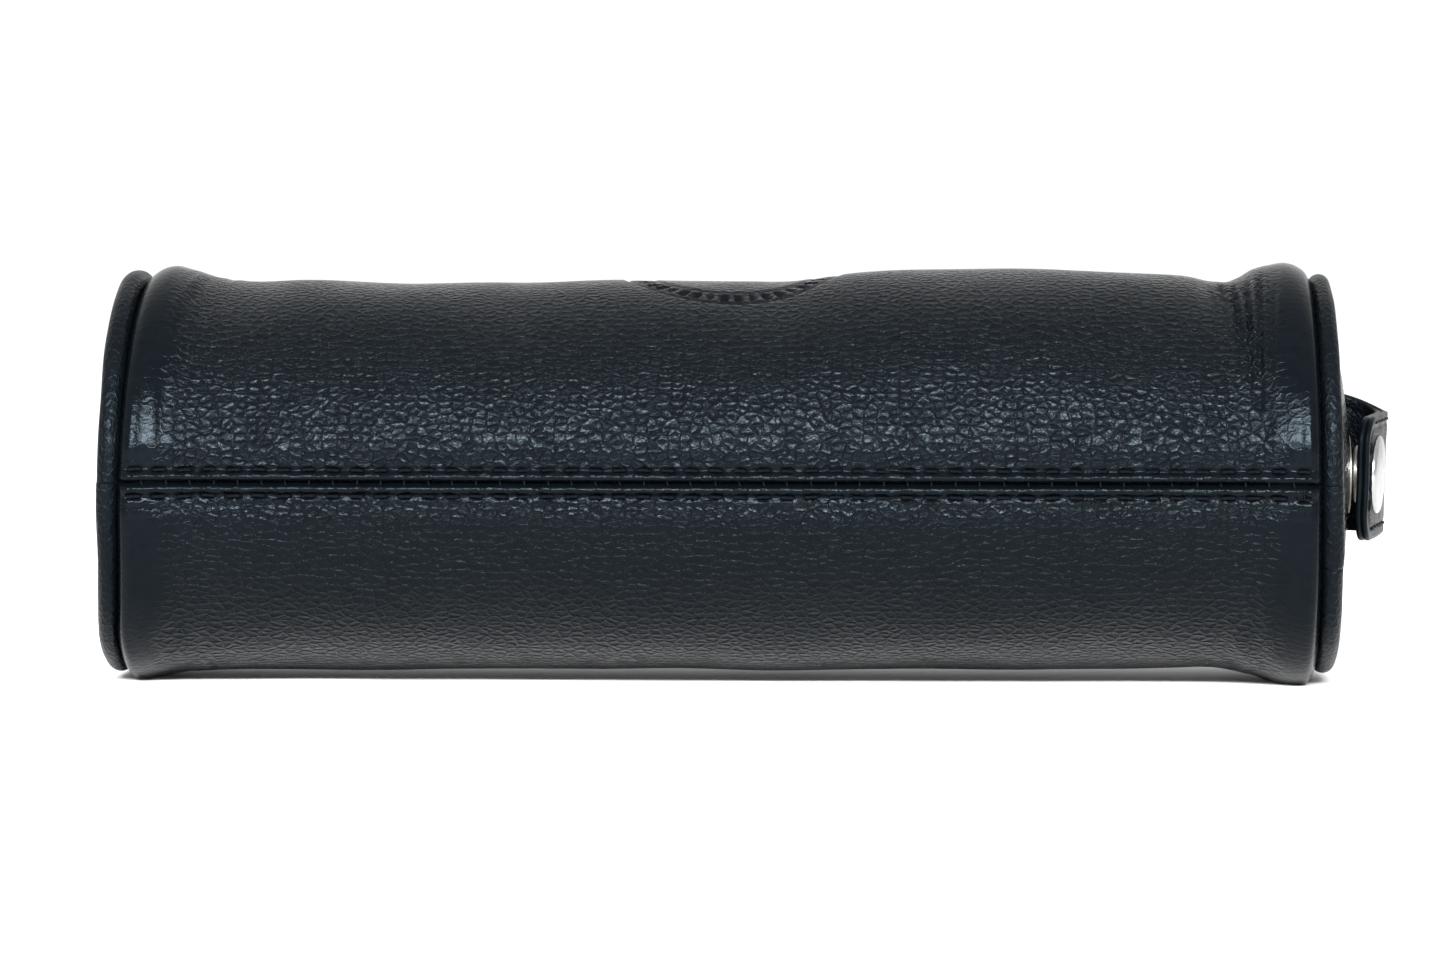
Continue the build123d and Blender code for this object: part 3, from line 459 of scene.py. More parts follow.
SIDE_LINE = [
    (-96.6, 32.2), (-96.1, 33.7), (-94.9, 34.75), (-93.0, 34.55), (-90.5, 34.0), (-87.0, 33.3), (-83.0, 33.0),
    (-75.0, 32.9), (-50.0, 33.1), (0.0, 33.4), (50.0, 33.1), (75.0, 32.9), (83.0, 33.0), (87.0, 33.3),
    (90.5, 34.0), (93.0, 34.6), (94.9, 34.85), (96.1, 33.8), (96.6, 32.2),
]
# How far the left-hand end stands out past upright, by height: it leans outwards at the bottom.
LEFT_LEAN = [(-36, 2.3), (-27, 1.95), (-20, 1.0), (-13, 0.5), (-3, 0.3), (10, 0.0), (36, 0.0)]


def end_places(side, z):
    """At a height: the piping's radius, and how far its outside stands from the barrel's middle."""
    if side < 0:
        return 1.75 + 0.008 * z, 100.05 + curve_through(LEFT_LEAN, z)
    return 1.72 - 0.004 * z, 100.75 - 0.018 * z


def stretched_x(x, theta, r):
    """Moves the ends of the wall to where the pipings leave off."""
    z = r * np.sin(theta)
    total = np.array(x, float)
    for side in (-1, 1):
        radius, outside = end_places(side, z)
        total = total + side * (outside - 2 * radius - WALL_END) * smoothstep(55, WALL_END, side * x)
    return total


GIRTH = 33.3  # turns theta into millimetres of leather
ZIP_EDGE_THETA = pi - 5.0 / 33.4


def wall_radius(x, theta):
    """The stuffed wall's radius before any small feature."""
    up = np.clip(np.sin(theta), 0, 1) ** 2
    down = np.clip(-np.sin(theta), 0, 1) ** 2
    place = x * (1 + 0.0105 * smoothstep(60, WALL_END, np.abs(x)))
    side = curve_through(SIDE_LINE, place)
    top, bottom = curve_through(TOP_LINE, place), curve_through(BOTTOM_LINE, place)
    r = side + up * (top - side) + down * (bottom - side)
    inside = smoothstep(0, 12, WALL_END - np.abs(x))
    calm = smoothstep(0, 12, GIRTH * np.abs(theta))
    calm = calm * smoothstep(0, 14, GIRTH * (ZIP_EDGE_THETA - np.abs(theta)))
    return r + inside * calm * 0.16 * ripples(x, GIRTH * theta, 26, 1)


def on_ground(points):
    """Presses what would sink under the ground flat against it."""
    low = (GROUND - CENTRE.z) / MM + 0.05
    points = np.array(points, float)
    points[..., 2] = np.maximum(points[..., 2], low)
    return points


# ---- Small features of the wall ------------------------------------------------------------------------
STITCH_PITCH = 3.86
STITCH_COUNT = 49
SEAM_ROW = 2.15
ZIP_ROW = 2.2
EMBLEM_X, EMBLEM_S, EMBLEM_R = 1.7, 2.4, 18.1
EMBLEM_SLOTS = 42

# Folds pressed into the leather between each band and the waist: x, theta in degrees, half length in degrees,
# depth, width, slant in millimetres per radian.
FOLDS = [
    (-88.2, 48, 13, 0.42, 0.5, 1.0), (-86.9, 60, 16, 0.34, 0.5, 1.6), (-85.6, 70, 10, 0.22, 0.6, 2.0),
    (-89.4, 34, 10, 0.16, 0.9, -2.0), (-91.5, 16, 12, 0.12, 1.0, -2.0),
    (83.2, 58, 19, 0.55, 0.45, -1.2), (84.9, 50, 24, 0.62, 0.42, 0.6), (86.6, 54, 20, 0.5, 0.42, 1.6),
    (88.4, 47, 17, 0.3, 0.45, 2.4), (81.4, 68, 14, 0.4, 0.6, -2.0), (86.0, 30, 12, 0.22, 0.6, 1.0),
    (84.6, -38, 14, 0.2, 1.1, 3.0), (81.0, -55, 16, 0.18, 1.2, -4.0), (89.5, -30, 16, 0.2, 1.3, 2.0),
    (-86.0, -35, 14, 0.2, 1.2, -4.0), (-82.0, -52, 16, 0.2, 1.2, 6.0), (-90.5, -28, 16, 0.2, 1.3, 3.0),
    (-93.4, -40, 14, 0.14, 0.9, -2.0),
]


def more_folds():
    """Fainter folds all round, so that no side of the pouch is bare."""
    rng = np.random.default_rng(SEED + 20)
    made = list(FOLDS)
    for side in (-1, 1):
        for theta in np.arange(-172, 172, 11.0):
            if 25 < theta < 75:
                continue
            x = side * rng.uniform(81.5, 89.0)
            made.append((x, theta + rng.uniform(-4, 4), rng.uniform(5, 11), rng.uniform(0.05, 0.17),
                         rng.uniform(0.5, 0.9), rng.uniform(-4, 4)))
    return made


def fold_height(x, theta):
    total = 0 * x
    for fx, angle, half, depth, width, slant in more_folds():
        away = (theta - radians(angle)) / radians(half)
        across = x - fx - slant * (theta - radians(angle))
        # a deep fold is a chain of short dents, one for each pebble it runs between
        chain = 1 - 0.35 * smoothstep(0.25, 0.4, depth) * (1 + np.sin(4.1 * GIRTH * theta + 3 * fx))
        across = across + 0.22 * smoothstep(0.25, 0.4, depth) * np.sin(2.9 * GIRTH * theta + 5 * fx)
        total = total - depth * chain * bump(across, width) * np.exp(-(away**4))
        total = total + 0.4 * depth * bump(np.abs(across) - 1.9 * width, width) * np.exp(-(away**4))
    return total


def stitch_places():
    half_run = STITCH_COUNT / 2 * STITCH_PITCH
    return np.linspace(-half_run, half_run, STITCH_COUNT + 1)


def row_height(x, across):
    """A stitched row: the leather dips under each stitch and closes up again at the needle holes."""
    half = STITCH_PITCH / 2
    phase = (x - stitch_places()[0]) / STITCH_PITCH
    near_hole = bump((phase - np.round(phase)) * STITCH_PITCH, 0.8)
    within = smoothstep(0, 1, STITCH_COUNT * half + 1 - np.abs(x))
    ragged = ripples(x, 0 * x, 2.6, 5)
    across = across + 0.1 * ragged
    channel = (0.64 + 0.16 * ragged) * (1 - 0.8 * near_hole) * bump(across, 0.5)
    hole = 0.12 * near_hole * bump(across, 0.42)
    swell = 0.1 * (1 - near_hole) * (bump(across - 1.0, 0.6) + bump(across + 1.0, 0.6))
    return within * (swell - channel - hole)


def seam_height(x, s):
    """Beside the sewn seam at s = 0: the turned edge, a padded strip and the row of topstitching."""
    # the gap is shallower beside the bands, where the lining comes up close underneath
    join = 1.3 * np.exp(-((s / 0.36) ** 2.2)) * (1 - 0.42 * bump(np.abs(x) - 90, 3.2))
    ticks = (x - stitch_places()[0]) / STITCH_PITCH + 0.5
    tick = bump((ticks - np.round(ticks)) * STITCH_PITCH, 0.42)
    strip = 0.3 * bump(s - 1.1, 0.62) * (1 - 0.75 * tick)
    beyond = -0.34 * bump(s - 3.0, 1.5) + 0.16 * bump(s - 6.2, 2.2)
    return row_height(x, s - SEAM_ROW) + strip + beyond - join


def zip_height(x, s):
    """Beside the zipper's slot, s from the folded edge: the leather rolls over its edge and is stitched."""
    roll = 0.75 * np.exp(-((s / 0.5) ** 1.6))
    return row_height(x, s - ZIP_ROW) - roll + 0.1 * bump(s - 1.0, 0.7)


def emblem_height(x, s):
    """The debossed round emblem: a band of plain deep slots near its edge, and a slightly domed middle."""
    dx, dy = x - EMBLEM_X, s - EMBLEM_S
    r = np.hypot(dx, dy)
    turn = np.arctan2(dy, dx) / (2 * pi) * EMBLEM_SLOTS
    middle = EMBLEM_R - 2.4
    along = (turn - np.round(turn)) * 2 * pi * middle / EMBLEM_SLOTS
    narrow = 0.25 * (np.round(turn) % 3 == 0)
    slot = smoothstep(0.8, 0.45, np.abs(along) + narrow) * smoothstep(1.35, 0.95, np.abs(r - middle))
    border = -0.35 * bump(r - (EMBLEM_R - 0.2), 0.4) - 0.22 * bump(r - (EMBLEM_R - 4.6), 0.35)
    band = smoothstep(EMBLEM_R - 4.4, EMBLEM_R - 3.9, r) * smoothstep(EMBLEM_R, EMBLEM_R - 0.5, r)
    dome = 0.2 * smoothstep(EMBLEM_R - 4.6, 2.0, r)
    return border - 0.6 * slot - 0.15 * band + dome


def wall_surface(x, theta):
    """The finished leather's radius, and how pebbled it is there."""
    s_seam = GIRTH * np.abs(theta)
    s_zip = GIRTH * (ZIP_EDGE_THETA - np.abs(theta))
    s_emblem = GIRTH * (theta - pi / 2)
    r = wall_radius(x, theta) + fold_height(x, theta)
    r = r + seam_height(x, s_seam) * smoothstep(-0.4, 1.2, WALL_END - np.abs(x))
    r = r + zip_height(x, s_zip)
    r = r + np.where(theta > 0, emblem_height(x, s_emblem), 0)
    stretched = smoothstep(10.5, 4.5, WALL_END - np.abs(x) + 0.8 * ripples(x * 0, GIRTH * theta, 7, 3))
    by_seam = smoothstep(3.6, 2.3, s_seam + 0.4 * ripples(x, s_seam * 0, 9, 4))
    by_zip = 0.6 * smoothstep(3.4, 2.6, s_zip)
    grain = (1 - 0.88 * stretched) * (1 - 0.6 * by_seam) * (1 - by_zip)
    from_emblem = np.hypot(x - EMBLEM_X, s_emblem - EMBLEM_S)
    grain = grain * (1 - 0.35 * smoothstep(EMBLEM_R + 0.4, EMBLEM_R - 0.4, from_emblem))
    return r, grain


def make_wall(name, side, nodes):
    """One half of the barrel's leather, from the seam to the zipper, with its ends turned in."""
    x = graded([0, (40, 0.5), (78, 0.62), (WALL_END, 0.27)])
    x = np.concatenate([-x[:0:-1], x])
    s = graded([0, (4.2, 0.2), (34, 0.6), (72 if side > 0 else 34.5, 0.5), (ZIP_EDGE_THETA * GIRTH - 4, 0.62),
                (ZIP_EDGE_THETA * GIRTH, 0.3)])
    grid_x, grid_theta = np.meshgrid(x, side * s / GIRTH, indexing="ij")
    r, grain = wall_surface(grid_x, grid_theta)
    placed_x = stretched_x(grid_x, grid_theta, r)
    points = barrel(placed_x, grid_theta, r)
    uv = np.stack([grid_x / 10, GIRTH * grid_theta / 10], axis=-1)
    # Extra rows turn each end inwards behind the piping, and the zipper edge under itself.
    for end, row in ((0, -1), (-1, 1)):
        inner = []
        for depth, drop in ((0.25, 0.9), (0.3, 2.2), (0.1, 4.5)):
            at_x = placed_x[end] + row * depth
            inner.append(barrel(at_x, grid_theta[end], r[end] - drop))
        inner = np.array(inner)
        edge_uv = np.repeat(uv[end][None], 3, axis=0)
        edge_grain = np.repeat(grain[end][None], 3, axis=0)
        if end == 0:
            points = np.concatenate([inner[::-1], points])
            uv, grain = np.concatenate([edge_uv, uv]), np.concatenate([edge_grain, grain])
        else:
            points = np.concatenate([points, inner])
            uv, grain = np.concatenate([uv, edge_uv]), np.concatenate([grain, edge_grain])
    last = points[:, -1]
    under = []
    for drop, back in ((0.5, -0.05), (1.1, 0.5), (1.2, 2.5)):
        theta = side * (ZIP_EDGE_THETA - back / GIRTH)
        radius = np.hypot(last[:, 1], last[:, 2]) - drop
        under.append(barrel(last[:, 0], theta, radius))
    points = np.concatenate([points, np.stack(under, axis=1)], axis=1)
    uv = np.concatenate([uv, np.repeat(uv[:, -1:], 3, axis=1)], axis=1)
    grain = np.concatenate([grain, np.repeat(grain[:, -1:], 3, axis=1)], axis=1)
    points = on_ground(points)
    rows, columns = points.shape[:2]
    quads = faces_of(rows, columns)
    piece = mesh_piece(name, world(points), quads, WALL_LEATHER, uv, {"grain": grain}, flip=side > 0)
    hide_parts(*nodes)
    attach(piece, "pouch")


make_wall("front_leather", 1, ["front_panel", "front_foam"])
make_wall("back_leather", -1, ["back_panel", "back_foam"])


# ---- Stitches ------------------------------------------------------------------------------------------
THREAD_SIDES = 8


def tube(path, radii):
    """Points and quads of a tube along a path, in millimetres, closed to a point at each end."""
    path = np.asarray(path, float)
    along = np.gradient(path, axis=0)
    along /= np.linalg.norm(along, axis=1)[:, None]
    helper = np.array([0.0, 0.0, 1.0]) if abs(along[0][2]) < 0.9 else np.array([0.0, 1.0, 0.0])
    a = np.cross(along, helper)
    a /= np.linalg.norm(a, axis=1)[:, None]
    b = np.cross(along, a)
    turn = np.linspace(0, 2 * pi, THREAD_SIDES, endpoint=False)
    ring = a[:, None] * np.cos(turn)[None, :, None] + b[:, None] * np.sin(turn)[None, :, None]
    points = path[:, None] + ring * np.asarray(radii)[:, None, None]
    return points, faces_of(len(path), THREAD_SIDES, close_columns=True)


def stitched(name, runs, nodes, body, radius=0.27):
    """One piece of thread for a list of stitches: (start, end, outward) runs that dive in at both ends."""
    rng = np.random.default_rng(SEED + len(runs))
    grids, uvs = [], []
    t = np.linspace(0, 1, 11)
    for start, end, out in runs:
        start, end, out = (np.asarray(v, float) for v in (start, end, out))
        lift = radius * 0.55 * np.sin(pi * t) ** 0.5 - radius * 2.4 * (bump(t, 0.09) + bump(1 - t, 0.09))
        sway = np.cross(end - start, out) / np.linalg.norm(end - start)
        path = start + (end - start) * t[:, None] + out * lift[:, None]
        path = path + sway * (rng.normal(0, 0.05) + 0.12 * (t - 0.5) * rng.choice([-1, 1]))[:, None]
        swell = radius * (0.78 + 0.22 * np.sin(pi * t) ** 0.6) * rng.uniform(0.94, 1.06)
        points, quads = tube(path, swell)
        grids.append((points, quads))
        length = np.linalg.norm(end - start) / 10
        girth = np.linspace(0, 0.17, THREAD_SIDES)
        grid_uv = np.stack(np.meshgrid(t * length, girth, indexing="ij"), axis=-1)
        uvs.append(grid_uv.reshape(-1, 2))
    points, quads = join_grids(grids)
    piece = mesh_piece(name, world(points), quads, THREAD, np.concatenate(uvs))
    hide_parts(*nodes)
    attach(piece, body)


def barrel_stitches(name, theta, node):
    places = stitch_places()
    sink = 0.46
    runs = []
    for a, b in zip(places, places[1:]):
        xs = np.array([a + 0.72, b - 0.72])
        r = wall_radius(xs, np.full(2, theta)) - sink
        start, end = barrel(stretched_x(xs, theta, r), theta, r)
        out = barrel(0.0, theta, 1.0)
        runs.append((start, end, out))
    stitched(name, runs, [node], "pouch")


barrel_stitches("seam_thread_front", SEAM_ROW / GIRTH, "seam_stitches_front")
barrel_stitches("seam_thread_back", -SEAM_ROW / GIRTH, "seam_stitches_back")
barrel_stitches("zipper_thread_front", ZIP_EDGE_THETA - ZIP_ROW / GIRTH, "zipper_stitches_front")
barrel_stitches("zipper_thread_back", -ZIP_EDGE_THETA + ZIP_ROW / GIRTH, "zipper_stitches_back")


def joining_threads():
    """The threads of the joining seam, seen across the gap between the two leather edges."""
    runs = []
    for x in stitch_places()[:-1] + STITCH_PITCH / 2:
        r = float(wall_radius(np.array([x]), np.array([0.0]))[0]) - 0.62
        start = barrel(x - 0.12, 0.55 / GIRTH, r)
        end = barrel(x + 0.12, -0.55 / GIRTH, r)
        runs.append((start, end, barrel(0.0, 0.0, 1.0)))
    # the tie-off at the right-hand end: a few short turns just below the gap
    for x in (93.4, 93.7, 94.0, 94.3):
        r = float(wall_radius(np.array([x]), np.array([0.0]))[0]) + 0.12
        runs.append((barrel(x, -0.5 / GIRTH, r), barrel(x - 0.1, -2.1 / GIRTH, r), barrel(0.0, 0.0, 1.0)))
    return runs


stitched("seam_join_thread", joining_threads(), ["seam_tape"], "pouch", radius=0.16)


# ---- Pipings and end panels ----------------------------------------------------------------------------
RING_OUTER = {-1: 33.55, 1: 33.1}
CORD_RING = 31.5  # the cords' own ring, which turns an angle round a piping into a distance along it


def make_piping(end, side):
    """Leather drawn round the cord, creased where it is eased round the ring, with one lapped joint."""
    around, across = 900, 40
    a = np.linspace(0, 2 * pi, around, endpoint=False)
    b = np.linspace(0, 2 * pi, across, endpoint=False)
    ring, girth = np.meshgrid(a, b, indexing="ij")
    rng = np.random.default_rng(SEED + 40 + side)
    pull = 0.06 * ripples(CORD_RING * ring, 2.2 * girth, 14, 41 + side)
    for place in rng.uniform(0, 2 * pi, 70):
        gap = (ring - place + pi) % (2 * pi) - pi
        crease = rng.uniform(0.02, 0.07) * bump(gap * CORD_RING, rng.uniform(0.25, 0.5))
        pull = pull - crease * (0.5 - 0.5 * np.cos(girth))
    lap = ((ring - radians(-25 if side > 0 else 140) + pi) % (2 * pi) - pi) * CORD_RING
    pull = pull - 0.22 * bump(lap, 0.28) + 0.1 * smoothstep(0, 0.4, lap) * smoothstep(9, 4, lap)
    thickness, outside = end_places(side, RING_OUTER[side] * np.sin(ring))
    r = thickness + pull
    x = side * (outside - thickness + r * np.cos(girth))
    radius = RING_OUTER[side] - thickness + r * np.sin(girth)
    points = on_ground(barrel(x, ring, radius))
    uv = np.stack([ring * 3.15, girth * 0.18], axis=-1)
    quads = faces_of(around, across, close_rows=True, close_columns=True)
    grain = {"grain": np.ones(around * across)}
    name = f"{end}_piping_leather"
    piece = mesh_piece(name, world(points), quads, PIPING_LEATHER, uv, grain, flip=side > 0)
    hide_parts(f"{end}_piping", f"{end}_piping_cord")
    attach(piece, "pouch")


DOME_APEX, DOME_EDGE, DOME_RISE = 103.8, 27.8, 5.2
PANEL_EDGE = 30.2


def dome_x(r, proud=0.0):
    """How far an end panel stands from the barrel's middle at radius r."""
    ball = (DOME_EDGE**2 + DOME_RISE**2) / (2 * DOME_RISE) + 1.2 + proud
    return DOME_APEX + proud - ball + np.sqrt(ball**2 - r**2)


def make_end_panel(end, side):
    """The stuffed round end: a shallow pebbled dome that rolls into the seam beside the piping."""
    rings, spokes = 150, 420
    r = np.concatenate([np.linspace(0.02, 26, 96), np.linspace(26.2, PANEL_EDGE + 0.5, rings - 96)])
    a = np.linspace(0, 2 * pi, spokes, endpoint=False)
    radius, angle = np.meshgrid(r, a, indexing="ij")
    y, z = -radius * np.cos(angle), radius * np.sin(angle)
    x = dome_x(radius)
    x = x + 0.12 * ripples(y, z, 15, 60 + side) * smoothstep(30, 22, radius)
    x = x + 0.45 * bump(radius - 26.4, 2.0)
    x = x - 2.6 * smoothstep(PANEL_EDGE - 1.5, PANEL_EDGE + 0.5, radius)
    x = x + (end_places(side, z)[1] - HALF_LENGTH) * smoothstep(8, 27, radius)
    pleats = bump(radius - 27.6, 1.5) * ripples(angle * 28, radius * 0, 3.2, 62 + side) * 0.09
    x = x + pleats
    points = np.stack([side * x, y, z], axis=-1)
    uv = np.stack([y / 10, z / 10], axis=-1)
    grain = 1 - 0.75 * smoothstep(25.5, 28.5, radius)
    quads = faces_of(rings, spokes, close_columns=True)
    piece = mesh_piece(
        f"{end}_end_leather", world(points), quads, WALL_LEATHER, uv, {"grain": grain}, flip=side < 0
    )
    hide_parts(f"{end}_end_panel")
    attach(piece, "pouch")


for end, side in (("left", -1), ("right", 1)):
    make_piping(end, side)
    make_end_panel(end, side)

# ---- The snap tab --------------------------------------------------------------------------------------
TAB_WIDTH, LEAF = 21.5, 1.0
TAB_TILT = radians(11.5)
TAB_LEAN = 0.03  # the tab leans outwards at its upper edge
TAB_BEND = 5.0
SNAP_INNER = Vector((106.0, -2.0))  # where the snap's axis meets the tab's inner face, as x and y
TAB_TAIL, TAB_REACH = 9.0, 14.0
TAB_ALONG = Vector((sin(TAB_TILT), cos(TAB_TILT)))
TAB_OUT = Vector((cos(TAB_TILT), -sin(TAB_TILT)))
FOOT_END = 26.5


def tab_path():
    """The line between the tab's two leaves, from its free tip to its sewn foot, and its outward normals."""
    tip = SNAP_INNER - TAB_ALONG * TAB_TAIL + TAB_OUT * LEAF
    turn = SNAP_INNER + TAB_ALONG * TAB_REACH
    middle = turn - TAB_OUT * TAB_BEND
    points, normals = [], []
    straight = np.linspace(0, TAB_TAIL + TAB_REACH, 80)
    for distance in straight[:-1]:
        bow = 0.35 * sin(pi * distance / straight[-1])  # the leather bows a little between snap and bend
        points.append(tip + TAB_ALONG * distance + TAB_OUT * bow)
        normals.append(TAB_OUT)
    for angle in np.linspace(-TAB_TILT, pi / 2, 44):
        out = Vector((cos(angle), sin(angle)))
        points.append(middle + out * (TAB_BEND + LEAF))
        normals.append(out)
    top_y = middle.y + TAB_BEND + LEAF
    foot_turn = 1.9
    foot_y = top_y + foot_turn
    foot_x = float(dome_x(np.array(foot_y), LEAF))
    for x in np.linspace(middle.x, foot_x + foot_turn, 14)[1:-1]:
        points.append(Vector((x, top_y)))
        normals.append(Vector((0, 1)))
    slope = radians(16)
    for angle in np.linspace(0, pi / 2 - slope, 16):
        # the tab turns outwards along the end panel
        points.append(Vector((foot_x + foot_turn - foot_turn * sin(angle), foot_y - foot_turn * cos(angle))))
        normals.append(Vector((sin(angle), cos(angle))))
    for y in np.linspace(points[-1].y, FOOT_END, 26)[1:]:
        x = float(dome_x(np.array(y), LEAF))
        points.append(Vector((x, y)))
        normals.append(Vector((cos(slope * y / 22), sin(slope * y / 22))))
    return np.array(points), np.array(normals)


def make_leaf(name, low, high, nodes):
    """One leaf of the tab, between two distances from the line that parts the leaves, with soft edges."""
    path, normals = tab_path()
    steps = np.linalg.norm(np.diff(path, axis=0), axis=1)
    run = np.concatenate([[0], np.cumsum(steps)])
    length = run[-1]
    half = TAB_WIDTH / 2
    z = graded([0, (half - 1.2, 0.28), (half, 0.1)])
    z = np.concatenate([-z[:0:-1], z])
    u = graded([0, (1.2, 0.1), (length, 0.28)]) / length
    corner = 5.0
    over = np.clip(np.abs(z) - (half - corner), 0, corner)
    start = corner - np.sqrt(np.maximum(corner**2 - over**2, 0))
    grid_u, grid_z = np.meshgrid(u, z, indexing="ij")
    s = start[None] + grid_u * (length - start[None])
    px, py = np.interp(s, run, path[:, 0]), np.interp(s, run, path[:, 1])
    nx, ny = np.interp(s, run, normals[:, 0]), np.interp(s, run, normals[:, 1])
    past_corner = np.clip(np.abs(grid_z) - (half - corner), 0, corner)
    tip_corner = np.hypot(np.clip(corner - s, 0, corner), past_corner)
    in_corner = (s < corner) & (np.abs(grid_z) > half - corner)
    edge = np.minimum(np.minimum(s, length - s), half - np.abs(grid_z))
    edge = np.where(in_corner, np.minimum(corner - tip_corner, length - s), edge)
    edge = np.clip(edge, 0, None)
    soft = 0.42
    full = np.sqrt(1 - (1 - np.clip(edge / soft, 0, 1)) ** 2)
    middle, thick = (low + high) / 2, (high - low) / 2
    wave = 0.05 * ripples(s, grid_z, 9, 70 + round(low * 10))
    stitch_line = 0.16 * bump(edge - 2.0, 0.42)
    sheets = []
    for way in (1, -1):
        outer_face = (way > 0) == (high > LEAF / 2)
        offset = middle + way * thick * full * 0.985 + wave * full
        offset = offset - (way * stitch_line if outer_face else 0)
        upright = smoothstep(length - 6, length - 14, s)
        flare = (2.9 * smoothstep(length - 18, length - 7, s) - 0.9) * smoothstep(0, half, grid_z)
        leaf_x = px + nx * offset + TAB_LEAN * grid_z * upright
        points = np.stack([leaf_x, py + ny * offset, grid_z + flare], axis=-1)
        quads = faces_of(*grid_u.shape)
        sheets.append((points, quads if way > 0 else quads[:, ::-1]))
    points, quads = join_grids(sheets)
    uv = np.stack([s / 10, grid_z / 10], axis=-1)
    uv = np.concatenate([uv.reshape(-1, 2), uv.reshape(-1, 2) + 5])
    grain = np.tile(smoothstep(0.1, 0.8, edge).ravel(), 2)
    piece = mesh_piece(name, world(points), quads, TAB_LEATHER, uv, {"grain": grain})
    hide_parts(*nodes)
    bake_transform(piece)
    return path, normals, run


path, normals, run = make_leaf("tab_outer_leather", 0.0, LEAF, ["tab_outer_leaf", "tab_foot_outer_leaf"])
make_leaf("tab_inner_leather", -LEAF, 0.0, ["tab_inner_leaf", "tab_foot_inner_leaf"])


def on_tab(distance, z, offset):
    """A point and its outward direction at a distance from the tab's tip."""
    p = [np.interp(distance, run, path[:, k]) for k in (0, 1)]
    n = [np.interp(distance, run, normals[:, k]) for k in (0, 1)]
    lean = TAB_LEAN * z * smoothstep(run[-1] - 6, run[-1] - 14, distance)
    return np.array([p[0] + n[0] * offset + lean, p[1] + n[1] * offset, z]), np.array([n[0], n[1], 0.0])


def tab_stitches():
    """A row inside each long edge of the tab and across its tip."""
    inset = 2.0
    half = TAB_WIDTH / 2 - inset
    rise = LEAF - 0.06
    runs = []
    spots = np.linspace(4.6, 23.0, 7)
    for side in (-1, 1):
        for a, b in zip(spots, spots[1:]):
            (start, out), (end, _) = on_tab(a + 0.35, side * half, rise), on_tab(b - 0.35, side * half, rise)
            runs.append((start, end, out))
    across = np.linspace(-half + 2.6, half - 2.6, 5)
    for a, b in zip(across, across[1:]):
        (start, out), (end, _) = on_tab(inset, a + 0.35, rise), on_tab(inset, b - 0.35, rise)
        runs.append((start, end, out))
    return runs


def foot_stitches():
    """Two rows across the sewn foot."""
    half = TAB_WIDTH / 2 - 2.0
    runs = []
    for back in (1.2, 5.0):
        spots = np.linspace(-half, half, 7)
        for a, b in zip(spots, spots[1:]):
            start, out = on_tab(run[-1] - back, a + 0.3, LEAF)
            end, _ = on_tab(run[-1] - back, b - 0.3, LEAF)
            runs.append((start, end, out))
    return runs


stitched("tab_thread", tab_stitches(), ["tab_stitches"], "tab", radius=0.24)
stitched("tab_foot_thread", foot_stitches(), ["tab_foot_stitches"], "pouch", radius=0.24)


LATHE_SIDES = 96


def lathe(name, profile, origin, axis, material, nodes, body):
    """A turned piece from a (radius, height) profile in millimetres, on an axis from an origin in metres."""
    profile = np.array(profile, float)
    turn = np.linspace(0, 2 * pi, LATHE_SIDES, endpoint=False)
    axis = Vector(axis).normalized()
    a = axis.orthogonal().normalized()
    b = axis.cross(a)
    a, b, up = np.array(a), np.array(b), np.array(axis)
    ring = a * np.cos(turn)[:, None] + b * np.sin(turn)[:, None]
    points = profile[:, 0][:, None, None] * ring[None] + profile[:, 1][:, None, None] * up
    quads = faces_of(len(profile), LATHE_SIDES, close_columns=True)
    piece = mesh_piece(name, np.array(origin) + points * MM, quads, material)
    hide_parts(*nodes)
    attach(piece, body)


def make_snap_cap():
    """The snap's visible cap: a low polished dome whose rim rolls down onto the leather."""
    radius, rise = 6.5, 1.05
    dome = [(radius * 0.94 * t, rise * (1 - 0.42 * t**2.6)) for t in np.linspace(0.001, 1, 26)]
    rim = [(radius - 0.4 + 0.4 * sin(t), rise * 0.58 * cos(t) * 0.9) for t in np.linspace(0.15, pi / 2, 10)]
    profile = dome + rim + [(radius, -0.1), (radius - 0.5, -0.15)]
    foot = SNAP_INNER + TAB_OUT * (2 * LEAF + 0.3)
    origin = world(np.array([foot.x, foot.y, 0.0]))
    axis = (TAB_OUT.x, TAB_OUT.y, -TAB_LEAN)
    lathe("snap_cap_dome", profile, origin, axis, NICKEL, ["snap_cap"], "tab")


make_snap_cap()

# ---- Zipper --------------------------------------------------------------------------------------------
ZIP_RADIUS, TAPE_HALF = 30.4, 0.275


def make_tape(name, side, node):
    """One woven tape beside the teeth, with a corded edge that the teeth are clamped on."""
    half = WALL_END - 3.6
    x = np.linspace(-half, half, 380)
    across = graded([1.5, (3.4, 0.14), (15.2, 0.8)])
    grid_x, grid_s = np.meshgrid(x, across, indexing="ij")
    sheets = []
    for way in (1, -1):
        bead = 0.22 * bump(grid_s - 2.1, 0.4)
        r = ZIP_RADIUS + way * (TAPE_HALF * smoothstep(1.4, 1.75, grid_s) + bead)
        points = barrel(grid_x, side * (pi - grid_s / ZIP_RADIUS), r)
        quads = faces_of(*grid_x.shape)
        sheets.append((points, quads if (way > 0) == (side < 0) else quads[:, ::-1]))
    points, quads = join_grids(sheets)
    uv = np.stack([grid_x / 10, grid_s / 10], axis=-1).reshape(-1, 2)
    piece = mesh_piece(name, world(points), quads, TAPE, np.concatenate([uv, uv]))
    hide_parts(node)
    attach(piece, "pouch")


make_tape("zipper_tape_upper", 1, "zipper_tape_front")
make_tape("zipper_tape_lower", -1, "zipper_tape_back")


